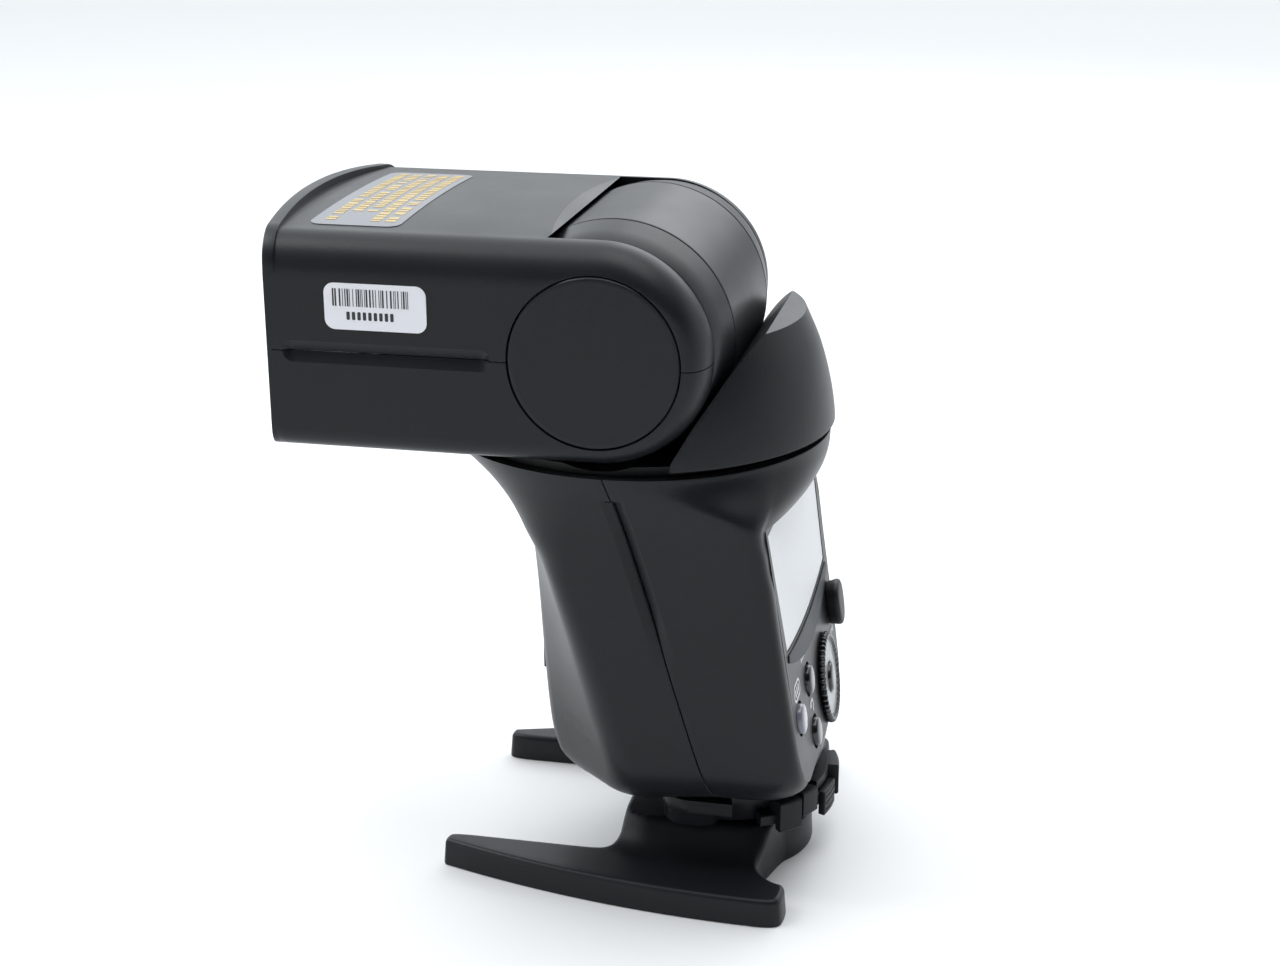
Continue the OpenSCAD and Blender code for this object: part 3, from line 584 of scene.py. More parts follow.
def front_at(z, d, t):
    """The front half's section at height z, inset by d: t runs from the seam round to the nose's middle."""
    s = [side_x(z) - d, seam_y(z)]
    r = [ridge_x(z) - d, ridge_y(z) + 0.7 * d]
    n = [10.5 - 0.45 * d, nose_y(z) + 1.8 + 0.95 * d]
    f = [0, nose_y(z) + d]
    c1, c2 = toward(r, s, 4), toward(r, n, 5)
    c3, c4 = toward(n, r, 3), toward(n, f, 4)
    k = t * 11
    if k < 1:
        own = lerp(s, c1, k)
    elif k < 6:
        own = bend(c1, r, c2, (k - 1) / 5)
    elif k < 7:
        own = lerp(c2, c3, k - 6)
    elif k < 10:
        own = bend(c3, n, c4, (k - 7) / 3)
    else:
        own = lerp(c4, f, k - 10)
    round_share = 0 if z < NECK_BLEND else ((z - NECK_BLEND) / 23) ** 1.4
    return lerp(own, quarter(s, f[1], t), round_share)


def rear_at(z, d, t):
    """The rear half's section at height z, inset by d: t runs from the seam round to the rear's middle."""
    s = [side_x(z) - d, seam_y(z)]
    b = rear_bulge(z)
    corner = [side_x(z) - d, rear_y(z) - b - d]
    c1 = toward(corner, s, min(rear_corner(z), corner[1] - s[1] - 0.2))
    c2 = toward(corner, [0, corner[1]], rear_corner(z))
    k = t * 10
    if k < 1:
        own = lerp(s, c1, k)
    elif k < 6:
        own = bend(c1, corner, c2, (k - 1) / 5)
    else:
        u = (k - 6) / 4
        own = [c2[0] * (1 - u), corner[1] + b * (1 - (1 - u) ** 2)]
    return lerp(own, quarter(s, rear_y(z) - d, t), step(76.5, 88, z))


def half_section(at, z, d, sign):
    """Points from the seam to the middle; the outer skin has a groove along the seam."""
    dense = [at(z, d, i / FINE) for i in range(FINE + 1)]
    run = [0.0]
    for a, b in zip(dense, dense[1:]):
        run.append(run[-1] + math.hypot(b[0] - a[0], b[1] - a[1]))

    def t_at(length):
        i = min(FINE - 1, max(0, bisect.bisect_right(run, length) - 1))
        return (i + (length - run[i]) / (run[i + 1] - run[i])) / FINE
    t0 = t_at(FAR_FROM_SEAM)
    ts = [t_at(g) for g in NEAR_SEAM] + [t0 + (1 - t0) * i / COARSE for i in range(COARSE + 1)]
    pts = [at(z, d, t) for t in ts]
    pts[0][1] += sign * SEAM_GAP
    if d == 0:
        deep = GROOVE_DEPTH * step(82.6, 81.6, z) * step(46, 62, z)
        for p, g in zip(pts, NEAR_SEAM):
            p[0] -= deep * max(0.0, 1 - g / GROOVE_HALF)
        pts[0][0] -= 0.16
        pts[1][0] -= 0.03
        pts[1][1] += sign * SEAM_GAP
    return pts


def half_shell(name, at, sign):
    rings = []
    for z in LEVELS:
        o, i = half_section(at, z, 0, sign), half_section(at, z, WALL, sign)
        outer = o + [[-x, y] for x, y in reversed(o[:-1])]
        inner = i + [[-x, y] for x, y in reversed(i[:-1])]
        rings.append([on_pan(x, y, z) for x, y in outer + inner[::-1]])
    return loft(name, rings)


def on_door(x, y, z):
    """From the middle of the battery door, which leans with the seam and drafts with the side."""
    lean, draft, middle_z = math.radians(15.84), math.radians(-4), 51.2
    y, z = y * math.cos(lean) - z * math.sin(lean), y * math.sin(lean) + z * math.cos(lean)
    x, z = x * math.cos(draft) + z * math.sin(draft), -x * math.sin(draft) + z * math.cos(draft)
    return (x - 30.85, y + PAN_Y + seam_y(middle_z), z + middle_z)


def door_cut():
    return prism("door_cut", [(-5, -10.7), (5, -10.7), (5, 14.2), (-5, 14.2)], -25.7, 25.7, on_door)


def panel_outline(gap=0.0, corner=8.0):
    w0, w1 = 27.2 - gap, 29.4 - gap
    low, high = -9.0 + gap, 45.0 - gap
    right_side = arc(w0 - corner, low + corner, corner, -90, -2, 10) + [(w1, high)]
    return right_side + [(-w1, high)] + arc(-w0 + corner, low + corner, corner, 182, 270, 10)


def casing(name, at, sign, window, node_name):
    o = half_shell(name, at, sign)
    boolean(o, window)
    boolean(o, door_cut())
    shell(smooth(o, 24, 0.22, 2, 50), "flash_body", node_name)


af_window = round_rect(0, 42.25, 17, 11.5, 1.2)
casing("front_casing", front_at, -1, prism("af_cut", af_window, -30, -10, upright), "front_shell")
casing("rear_casing", rear_at, 1, prism("panel_cut", panel_outline(), -8, 12, on_panel), "rear_shell")

# ---------- head casing ----------
HEAD_W = 37.0
FRONT = -59.5
Z_TOP, Z_LOW = 20.5, -19.1
ARM_R, ARM_X = 20.2, 29.15
CORNER = 7.5
CORNER_X = HEAD_W - CORNER
PART_LINE, PART_GAP = 107.5, 0.09
GROOVE_REAR, GROOVE_FRONT, GROOVE_Z = -20.5, -55.5, -0.5


def front_y(x):
    """The head's front is a shallow curve across its width."""
    return -64 + x * x / 380


def crown(x):
    """How far the head's top rises above its corners."""
    return max(0.0, 0.98 - x * x / 880)


def top_z(x):
    x = abs(x)
    if x > CORNER_X:
        return Z_TOP - CORNER + math.sqrt(max(0.0, CORNER ** 2 - (x - CORNER_X) ** 2))
    return Z_TOP + crown(x)


def head_path():
    """The head's side outline from the front of its top, round the arm's end, to the front of its underside.

    A row is a point, its inward direction, the corner's height and width there, and its share of the crown.
    """
    rows = []
    for y in [FRONT + 0.3 * i for i in range(10)] + [FRONT + 3 + (-FRONT - 3) * i / 30 for i in range(31)]:
        rows.append(((y, Z_TOP), (0, -1), CORNER, CORNER, 1.0))
    for i in range(1, 72):
        a = math.pi * i / 72
        u = i / 72
        r = Z_TOP + (ARM_R - Z_TOP) * step(0, 0.3, u) - (Z_LOW + ARM_R) * step(0.62, 1.0, u)
        tall = CORNER + (4.2 - CORNER) * step(0, 0.35, u) + (4.0 - 4.2) * step(0.6, 1, u)
        wide = CORNER + (7.2 - CORNER) * step(0, 0.35, u) + (4.0 - 7.2) * step(0.62, 1, u)
        inward = (-math.sin(a), -math.cos(a))
        rows.append(((r * math.sin(a), r * math.cos(a)), inward, tall, wide, 1 - step(0, 0.5, u)))
    for i in range(41):
        rows.append(((FRONT * i / 40, Z_LOW), (0, 1), 4.0, 4.0, 0.0))
    return rows


def head_row(p, inward, tall, wide, crown_share):
    """Points across the head at one place of its outline, from one side to the other."""
    flat = HEAD_W - wide
    half = []
    for share in [0, 0.012] + [i / 15 for i in range(1, 15)] + [0.985, 1.0]:
        a = math.pi / 2 * (1 - share)
        half.append((flat + wide * math.sin(a), tall * (1 - math.cos(a))))
    half += [(flat * (1 - k / 12), 0.0) for k in range(1, 13)]
    pts = []
    for x, d in half:
        rise = crown_share * crown(x) * max(0.0, 1 - d / 2.0)
        pts.append((x, p[0] + inward[0] * d, p[1] + inward[1] * d + rise))
    return pts + [(-x, y, z) for x, y, z in reversed(pts[:-1])]


def head_solid(name):
    grid = [[on_hinge(*q) for q in head_row(*row)] for row in head_path()]
    n, m = len(grid[0]), len(grid)
    faces = [(k * n + i, k * n + i + 1, (k + 1) * n + i + 1, (k + 1) * n + i)
             for k in range(m - 1) for i in range(n - 1)]
    faces += [tuple(k * n for k in range(m)), tuple(k * n + n - 1 for k in range(m))]
    faces.append(tuple(range(n)) + tuple((m - 1) * n + i for i in reversed(range(n))))
    return make(name, [q for row in grid for q in row], faces)


def disc_prism(name, r, x0, x1, steps=160):
    turns = [2 * math.pi * i / steps for i in range(steps)]
    return prism(name, [(r * math.cos(a), r * math.sin(a)) for a in turns], x0, x1, across)


def side_groove(side):
    """The cutter for the groove along the head's side, which narrows to a line at its bottom."""
    shape = arc(GROOVE_REAR, GROOVE_Z, 2.0, -90, 90, 14)
    shape += arc(GROOVE_FRONT, GROOVE_Z, 2.0, 90, 180, 6) + arc(GROOVE_FRONT, GROOVE_Z, 2.0, 180, 270, 6)
    rings = []
    for x, long, tall in ((37.6, 1.35, 1.6), (37.0, 1, 1), (35.95, 0.35, 0.06)):
        ring = []
        for u, v in shape:
            end = GROOVE_REAR if u > -30 else GROOVE_FRONT
            ring.append(across(end + (u - end) * long, GROOVE_Z + (v - GROOVE_Z) * tall, side * x))
        rings.append(ring)
    return loft("side_groove", rings)


def head_casing():
    o = head_solid("head")
    hollow = round_rect(0, (Z_TOP + Z_LOW) / 2 + HINGE_Z, 2 * 35.2, Z_TOP - Z_LOW - 3.6, 3.5)
    boolean(o, prism("inner", hollow, FRONT - 2, -25.0, upright))
    # the drum turns between the arms; the top cover ends in a slanted lip
    boolean(o, disc_prism("drum_cut", 22.8, -ARM_X, ARM_X, 192))
    lip = [(-9.5, -60), (-9.5, 20.6), (-12.6, 21.6), (-12.6, 60), (60, 60), (60, -60)]
    boolean(o, prism("lip_cut", lip, -ARM_X, ARM_X, across))
    boolean(o, disc_prism("axle_bore", 7.05, -60, 60, 64))
    for side in (-1, 1):
        boolean(o, disc_prism("cap_recess", 15.78, side * 34.6, side * 40))
        boolean(o, side_groove(side))
    return o


head = head_casing()
for name, node_name, z0, z1 in (("head_top_cover", "head_top_shell", 60, PART_LINE + PART_GAP),
                                ("head_lower_cover", "head_bottom_shell", PART_LINE - PART_GAP, 160)):
    cover = bpy.data.objects.new(name, head.data.copy())
    scene.collection.objects.link(cover)
    boolean(cover, box("other_half", -60, 60, -100, 30, z0, z1))
    shell(smooth(cover, 32, 0.22, 2, 40), "head", node_name)
bpy.data.objects.remove(head)


# ---------- head front ----------
LENS_Z = 106.5
LENS_W, LENS_H = 60.9, 25.9


def bezel():
    half = [(x, Z_LOW) for x in (0, 6, 12, 18, 24, 29)] + arc(33, Z_LOW + 4, 4, -90, 0, 8)
    half += [(HEAD_W, z) for z in (-10, -5, 0, 5, 10)] + arc(CORNER_X, 13, CORNER, 0, 90, 16)[:-1]
    half += [(CORNER_X - CORNER_X * i / 24, Z_TOP) for i in range(25)]
    outline = [(x, z + (crown(x) * max(0.0, 1 - (Z_TOP - z) / 2.0) if z > 13 else 0.0)) for x, z in half]
    outline += [(-x, z) for x, z in reversed(outline[1:-1])]
    rings = [[on_hinge(x, -59.5 - 0.25 * i, z) for x, z in outline] for i in range(23)]
    o = loft("head_front_frame", rings)
    bow = [(x, front_y(x)) for x in (-42 + 84 * i / 96 for i in range(97))]
    boolean(o, prism("front_curve", bow + [(42, -40), (-42, -40)], 60, 160, on_pan), "INTERSECT")
    for name, outline in (("lens_cut", round_rect(0, LENS_Z, 61.2, 26.2, 1.2)),
                          ("wide_slot", round_rect(0, 122.1, 56.4, 1.4, 0.3, 3)),
                          ("catch_slot", round_rect(0, 123.8, 54.4, 1.0, 0.3, 3))):
        boolean(o, prism(name, outline, -80, -50, upright))
    boolean(o, box("pull_cut", -6, 6, -90, -62.4 + PAN_Y, 121.4, 124.3))
    return o


def front_lip():
    """The narrow raised lip that follows the head's curved front edge over its top."""
    half = [(CORNER_X + CORNER * math.cos(a), 13 + CORNER * math.sin(a), math.cos(a), math.sin(a))
            for a in (math.radians(6 + 84 * i / 24) for i in range(25))]
    half += [(x, top_z(x), 0, 1) for x in (CORNER_X - CORNER_X * i / 30 for i in range(1, 31))]
    rings = []
    for x, z, nx, nz in half + [(-x, z, -nx, nz) for x, z, nx, nz in reversed(half[:-1])]:
        h = 0.30 + 1.06 * max(0.0, 1 - (abs(x) / 34) ** 2)
        h = h * step(13.5, 17.5, z) + 0.12
        section = ((0.02, -0.5), (0.02, h - 0.12), (0.1, h - 0.03), (0.35, h), (1.85, h), (2.1, h - 0.03),
                   (2.2, h - 0.12), (2.3, -0.5))
        rings.append([on_hinge(x + nx * d, front_y(x) + u, z + nz * d) for u, d in section])
    return loft("front_lip", rings)


def fresnel():
    """A window with saw-tooth ribs on its front and a flat back."""
    columns, ribs, rib_depth = 48, 34, 0.28
    xs = [-LENS_W / 2 + LENS_W * k / columns for k in range(columns + 1)]
    rows = []
    for i in range(ribs):
        z0 = -LENS_H / 2 + LENS_H * i / ribs
        rows += [(z0, 0.0), (z0 + LENS_H / ribs * 0.85, rib_depth)]
    rings = []
    for z, d in rows + [(LENS_H / 2, 0.0)]:
        ring = [(x, front_y(x) + 0.7 + d) for x in xs] + [(x, -60.3) for x in reversed(xs)]
        rings.append([on_pan(x, y, LENS_Z + z) for x, y in ring])
    return loft("ribbed_lens", rings)


def hinge_cap(side, node_name):
    profile = [(0.0, 34.7), (15.55, 34.7), (15.55, 36.5), (15.5, 36.72), (15.35, 36.88), (15.1, 36.96),
               (14.7, 37.0), (0.0, 37.0)]
    cap = revolve(node_name + "_disc", profile, across_side(side), 160)
    bm = bmesh.new()
    bm.from_mesh(cap.data)
    bmesh.ops.dissolve_limit(bm, angle_limit=0.002, verts=bm.verts, edges=bm.edges)
    bm.to_mesh(cap.data)
    bm.free()
    shell(smooth(cap, 28), "head", node_name)


shell(smooth(bezel(), 32, 0.35, 3, 50), "head", "head_bezel")
piece(smooth(fresnel(), 15), "head", "clear_panel", "fresnel_lens")
shell(smooth(front_lip(), 40, flat=40), "head")
hinge_cap(1, "hinge_cap_left")
hinge_cap(-1, "hinge_cap_right")


# ---------- labels ----------
def patch(name, outline, thick, lift, grid=1.0):
    """A thin sheet on the head's curved top, inside an outline in x and y."""
    x0, x1 = min(p[0] for p in outline), max(p[0] for p in outline)
    steps = max(1, round((x1 - x0) / grid))
    cuts = [x0 + (x1 - x0) * i / steps for i in range(1, steps)]
    pts = []
    for a, b in zip(outline, outline[1:] + outline[:1]):
        pts.append(a)
        low, high = sorted((a[0], b[0]))
        between = sorted((c for c in cuts if low + 1e-6 < c < high - 1e-6), reverse=a[0] > b[0])
        pts += [(c, a[1] + (b[1] - a[1]) * (c - a[0]) / (b[0] - a[0])) for c in between]
    edges = [(i, (i + 1) % len(pts)) for i in range(len(pts))]
    y0, y1 = min(p[1] for p in pts), max(p[1] for p in pts)
    inside = []
    if x1 - x0 > 3 * grid:
        inside = [Vector((c, y0 + (y1 - y0) * j / 4)) for c in cuts for j in (1, 2, 3)]
    loop = list(range(len(pts)))
    vs, _, fs, _, _, _ = delaunay_2d_cdt([Vector(p) for p in pts] + inside, edges, [loop], 1, 1e-5)
    n = len(vs)
    verts = [on_hinge(v.x, v.y, top_z(v.x) + lift + h) for h in (thick, 0) for v in vs]
    faces = [tuple(f) for f in fs] + [tuple(n + i for i in reversed(f)) for f in fs]
    sides = {side: None for f in fs for side in zip(f, f[1:] + f[:1])}
    faces += [(b, a, n + a, n + b) for a, b in sides if (b, a) not in sides]
    return make(name, verts, faces)


def warning_lines(numbers):
    """Five lines of plain bars, in place of words."""
    bars = []
    for row in range(5):
        y = -40.6 - row * 2.85
        x = 25.2 - (8.0 if row in (2, 3) else 1.2)
        while x > -19:
            length = 0.7 + 1.1 * next(numbers)
            outline = [(x - length, y - 0.95), (x, y - 0.95), (x, y + 0.95), (x - length, y + 0.95)]
            bars.append(patch("bar", outline, 0.05, 0.12))
            x -= length + 0.35 + 0.25 * next(numbers) + (1.4 if next(numbers) < 0.12 else 0)
    return join(bars)


def on_side(u, v, w):
    """On the head's left side: u to the rear, v up, w out of it."""
    return on_hinge(HEAD_W + w, u, v)


def code_lines(numbers):
    """Upright bars over a row of small blocks, in place of a code and its number."""
    lines = []
    y = -47.4
    while y < -33.4:
        w = (0.13, 0.13, 0.2, 0.3)[int(next(numbers) * 4)]
        lines.append(prism("line", [(y, 8.3), (y + w, 8.3), (y + w, 11.5), (y, 11.5)], 0.145, 0.175, on_side))
        y += w + (0.16, 0.2, 0.32, 0.5)[int(next(numbers) * 4)]
    for k in range(9):
        block = round_rect(-44.55 + 1.02 * k, 6.6, 0.62, 1.5, 0.2, 3)
        lines.append(prism("tick", block, 0.145, 0.175, on_side))
    return join(lines)


numbers = draws(7)
label = patch("spec_label", round_rect(2.6, -46.7, 49.0, 17.2, 2.4), 0.12, 0.0)
piece(smooth(label, 30), "head", "silver_label", "top_label")
piece(warning_lines(numbers), "head", "gold_ink", slot="silver_label")
sticker = prism("code_sticker", round_rect(-39.5, 8.25, 19, 8.5, 1.9), 0.0, 0.14, on_side)
piece(smooth(sticker, 30, 0.05, 2), "head", "paper_label", "side_sticker")
piece(code_lines(numbers), "head", "black_ink", slot="paper_label")

# ---------- swivel: drum, collars and the slanted shroud behind them ----------
DRUM_R = 22.0
SHROUD_LOW, SHROUD_TOP = 88.5, 112.0
SHROUD_WALL = 2.2
shroud_r = curve((88.5, 38.0), (90, 37.9), (93, 37.5), (97, 36.7), (102.7, 35.1), (108.4, 32.7), (112, 31.0))
cut_y = curve((88.0, 13.4), (89.6, 13.5), (92, 14.7), (96, 17.0), (100, 19.6), (104, 22.3), (108, 25.5),
              (111.2, 28.7), (112.5, 29.8))


def below_swivel():
    return box("below", -70, 70, -90, 60, 40, SHROUD_LOW)


def drum():
    half = [(20.0, 17.55), (21.7, 17.55), (21.93, 17.45), (DRUM_R, 17.2)]
    profile = [(r, -x) for r, x in half] + half[::-1]
    return boolean(revolve("neck_drum_skin", profile, across, 192), below_swivel())


def collars():
    profile = [(7.1, 27.0), (7.1, 28.9), (19.7, 28.75), (20.1, 28.65), (20.32, 28.3), (21.2, 23.5),
               (21.96, 18.15), (21.86, 17.9), (21.6, 17.85), (19.9, 17.85), (18.4, 27.0)]
    turned = [revolve("collar", profile, across_side(side), 192) for side in (1, -1)]
    return join([boolean(o, below_swivel()) for o in turned])


def side_prism(name, outline):
    """A straight solid across the whole width, on an outline in y and z from the swivel's axis."""
    return prism(name, outline, -60, 60, lambda u, v, w: on_pan(w, u, v))


def shroud():
    zs = [SHROUD_LOW + (SHROUD_TOP - SHROUD_LOW) * i / 40 for i in range(41)]
    skin = [(shroud_r(z), z) for z in zs]
    o = revolve("rear_hood", skin + [(0.0, SHROUD_TOP), (0.0, SHROUD_LOW)], on_pan, 220)
    edge = [(cut_y(z), z) for z in (86 + 28 * i / 48 for i in range(49))]
    boolean(o, side_prism("hood_cut", [(-70, 86)] + edge + [(29.9, 130), (-70, 130)]))
    hollow = [(r - SHROUD_WALL, z - 0.6) for r, z in skin] + [(0.0, SHROUD_TOP - 0.6), (0.0, 86)]
    inner = revolve("hood_hollow", hollow, on_pan, 160)
    rim = [(y + 2.1, z - 1.6) for y, z in edge]
    boolean(inner, side_prism("keep_rim", [(-70, 80), (rim[0][0], 80)] + rim + [(32, 130), (-70, 130)]))
    boolean(o, inner)
    # room for the drum, its collars and the head's arms to turn
    half = [(0, 29.4), (20.5, 29.4), (20.7, 28.4), (21.45, 23.5), (22.2, 18)]
    boolean(o, revolve("drum_room", [(r, -x) for r, x in half] + half[::-1], across, 192))
    boolean(o, box("crown_cut", -40, 40, -20, 40, 109.8, 125))
    return o


shell(smooth(drum(), 28), "swivel", "neck_drum")
shell(smooth(collars(), 28), "swivel", "drum_collars")
shell(smooth(shroud(), 28, 0.6, 3, 45), "swivel", "rear_shroud")

# ---------- stand ----------
LEG_TOP, SHOE_TOP = 5.5, 10.6
TONGUE_RISE = 3.5
HILL_WIDTH, HILL_POWER = 8.0, 2.3
SOFT_EDGE = 1.15
SHOE_Y, PIN_Y = -9.8, -7.2


def leg_edge(y):
    return 37.1 - 0.00253 * (12.8 - y) ** 2


def stand_outline():
    """The stand seen from above, counter-clockwise: two long legs ahead, a tongue behind."""
    inner_side = [(17, -18.5), (19.4, -19), (21.2, -20.3), (22, -22.6), (22, -30), (22, -42), (22.0, -50.6),
                  (23.0, -52.8)]
    outer_side = [(leg_edge(y), y) for y in (-52.8 + 65.6 * i / 40 for i in range(41))]
    rear_side = [(36.7, 15.4), (35.2, 16.8), (29, 16.8), (28.4, 13.8), (24.8, 10.4), (21.5, 10.4),
                 (17.8, 11.4), (14.0, 12.4)]
    tongue = [(17.4 * math.sin(a), 17.4 * math.cos(a)) for a in map(math.radians, (40, 34, 28, 20, 10, 0))]
    half = inner_side + outer_side + rear_side + tongue
    return chaikin(half + [(-x, y) for x, y in reversed(half[:-1])], 3)


def stand_top(x, y):
    """Height of the stand's top: flat legs, a raised tongue and a hill up to the shoe."""
    z = LEG_TOP + TONGUE_RISE * step(12.6, 10.6, abs(x)) * step(8, 12, y)
    qx, qy = abs(x) - 12.0, abs(y + 2.8) - 9.4
    outside = math.hypot(max(qx, 0), max(qy, 0)) + min(max(qx, qy), 0) - 6
    climb = 1.0 if outside < 0 else max(0.0, 1 - outside / HILL_WIDTH) ** HILL_POWER
    return max(z, z + (SHOE_TOP - z) * climb)


def within(outline, x, y):
    odd = False
    for (x0, y0), (x1, y1) in zip(outline, outline[1:] + outline[:1]):
        if (y0 > y) != (y1 > y) and x < (x1 - x0) * (y - y0) / (y1 - y0) + x0:
            odd = not odd
    return odd


def stand_grid(outline):
    """Points inside an outline, closer together round the shoe."""
    points = []
    y = -52.0
    while y < 18:
        apart = 0.7 if y > -19 else 1.6
        x = 0.0
        while x < 37:
            if within(outline, x, y):
                points += [Vector((side * x, y)) for side in ((1, -1) if x else (1,))]
            x += apart
        y += apart
    return points


def stand():
    pts = stand_outline()
    n = len(pts)
    rings = [[(x, y, z) for x, y in inset(pts, d)] for d, z in ((0.25, 0.0), (0.06, 0.12), (0.0, 0.45))]
    for k in range(9):
        a = math.pi / 2 * k / 8
        edge = inset(pts, 0.32 + SOFT_EDGE * (1 - math.cos(a)))
        rings.append([(x, y, stand_top(x, y) - SOFT_EDGE * (1 - math.sin(a))) for x, y in edge])
    faces = quads(n, len(rings)) + [tuple(reversed(range(n)))]
    verts = [q for r in rings for q in r]
    # the top is a net of triangles from the last ring inwards
    rim = [Vector(q[:2]) for q in rings[-1]]
    grid = stand_grid(inset(pts, 0.32 + SOFT_EDGE + 0.45))
    loop = [(i, (i + 1) % n) for i in range(n)]
    vs, _, fs, origin, _, _ = delaunay_2d_cdt(rim + grid, loop, [list(range(n))], 1, 1e-6)
    where = []
    for v, sources in zip(vs, origin):
        on_rim = [i for i in sources if i < n]
        if on_rim:
            where.append((len(rings) - 1) * n + on_rim[0])
        else:
            where.append(len(verts))
            verts.append((v.x, v.y, stand_top(v.x, v.y)))
    faces += [tuple(where[i] for i in f) for f in fs]
    o = make("stand", verts, faces)
    boolean(o, prism("bush_hole", circle(0, 0, 5.55), -1, 6.32, world))
    boolean(o, box("shoe_slot", -9.4, 9.4, SHOE_Y, 40, 6.8, 9.0))
    boolean(o, box("shoe_throat", -6.5, 6.5, SHOE_Y, 40, 8.0, 14))
    return boolean(o, prism("pin_hole", arc(0, PIN_Y, 1.5, 0, 350, 35), 4.6, 8, world))


shell(smooth(stand(), 34, 0.15, 2, 60), "stand", "stand_base")


# ---------- foot ----------
def collar():
    def ring(g, z):
        return [(x, y, z) for x, y in round_rect(0, 0.7, 42 - 2 * g, 22 - 2 * g, 6 - g * 0.8, 10)]
    levels = ((0.5, 13.6), (0.15, 13.75), (0, 14.1), (0, 15.6), (0.25, 16.1), (0.3, 16.5))
    o = loft("foot_collar_ring", [ring(g, z) for g, z in levels])
    disc = [(0, 11.0), (17.0, 11.0), (17.4, 11.3), (17.45, 13.7), (0, 13.7)]
    low_disc = revolve("low", disc, world, 96)
    boolean(low_disc, prism("ahead", round_rect(0, -4.4, 41.2, 11.6, 4, 8), 11.2, 13.8, world), "UNION")
    boolean(low_disc, prism("limit", round_rect(0, 0.7, 41.6, 21.6, 5.8), 9, 15, world), "INTERSECT")
    boolean(o, low_disc, "UNION")
    boolean(o, prism("pin", arc(0, PIN_Y, 1.25, 0, 350, 35), 8, 20, world))
    return boolean(o, sector("lever_room", [(17.7, 8), (40, 8), (40, 17), (17.7, 17)], 12, 150, 69))


def lever():
    """A curved arm with a taller band and three finger tabs."""
    arm = [(17.85, 10.95), (20.35, 10.95), (20.6, 11.2), (20.6, 13.0), (20.35, 13.25), (17.85, 13.25)]
    band = [(17.95, 10.2), (20.1, 10.2), (20.25, 10.35), (20.25, 16.1), (20.1, 16.25), (17.95, 16.25)]
    o = sector("lock_lever_arm", arm, 28, 142, 76)
    boolean(o, sector("band", band, 70, 112, 42), "UNION")
    for a in (69, 92, 115):
        boolean(o, sector("joint", [(20.05, 10), (21, 10), (21, 17), (20.05, 17)], a, a + 0.7, 2))
    top = 16.1
    for a1, a2, r, low in ((37, 50, 22.4, 9.9), (54, 66, 21.3, 10.9), (94, 112, 22.4, 9.6)):
        tab = [(18.2, 10.9), (20.35, 10.9), (20.4, low), (r - 0.3, low), (r, low + 0.3), (r, top - 0.3),
               (r - 0.3, top), (18.2, top)]
        boolean(o, sector("tab", tab, a1, a2, 14), "UNION")
    return boolean(o, sector("button_gap", [(19.3, 8), (26, 8), (26, 14.4), (19.3, 14.4)], 71, 91, 20))


def release():
    key = [(20.35, 8.8), (21.6, 8.7), (21.8, 9.0), (21.8, 13.6), (21.6, 13.9), (20.35, 13.9)]
    o = sector("release_key", key, 72, 90, 14)
    for z in (9.6, 11.0, 12.4):
        boolean(o, sector("nick", [(21.5, z), (23, z), (23, z + 0.55), (21.5, z + 0.55)], 73.5, 88.5, 12))
    return o


shell(smooth(collar(), 32, 0.12, 2, 50), "flash_body", "foot_collar")
shell(smooth(lever(), 30, 0.22, 2, 50), "lock_lever", "lock_lever")
piece(smooth(release(), 30, 0.15, 2, 50), "release_button", "dark_plastic", "lock_release_button")

# ---------- control panel ----------
SUB_AT, BOUNCE_AT, BACK_AT, DIAL_AT, POWER_AT = (-9, 7.2), (-21.5, 4.6), (-8.6, -4), (10, -0.6), (22.5, 9.5)
KEY_HOLE, DIAL_HOLE, POWER_HOLE = 3.45, 5.1, 1.9
KEY_R = 2.9
TEETH = 44


def lcd_shape(g=0.0):
    low_w, high_w, low_v, high_v = 25 - g, 28 - g, 19.5 + g, 43.6 - g
    bottom = [(-low_w + 2 * low_w * i / 24, low_v - 1.6 * (1 - (1 - i / 12) ** 2)) for i in range(25)]
    return bottom + [(high_w, high_v), (-high_w, high_v)]


def panel_plate():
    o = prism("control_panel", panel_outline(0.06), -2.4, 0.0, on_panel)
    boolean(o, prism("lcd_cut", lcd_shape(), -5, 5, on_panel))
    keys = [(at, KEY_HOLE) for at in (SUB_AT, BOUNCE_AT, BACK_AT)]
    for (x, v), r in keys + [(DIAL_AT, DIAL_HOLE), (POWER_AT, POWER_HOLE)]:
        boolean(o, prism("hole", circle(x, v, r), -5, 5, on_panel))
    return o


def apron():
    """The crescent under the display; its grey-blue colour is a painted sheen, standing in for the reflection
    on a glossy black window.
    """
    def bow(w0, w1, v, sag):
        return [(w0 + w1 * i / 30, v - sag * (1 - (i / 15 - 1) ** 2)) for i in range(31)]
    crescent = bow(-25, 50, 18.9, 1.6) + bow(26, -51.5, 17.6, 5.6)
    return prism("display_apron", crescent[::-1], 0.0, 0.3, on_panel)


def mark(outline):
    return prism("mark", outline, 0.02, 0.06, on_panel)


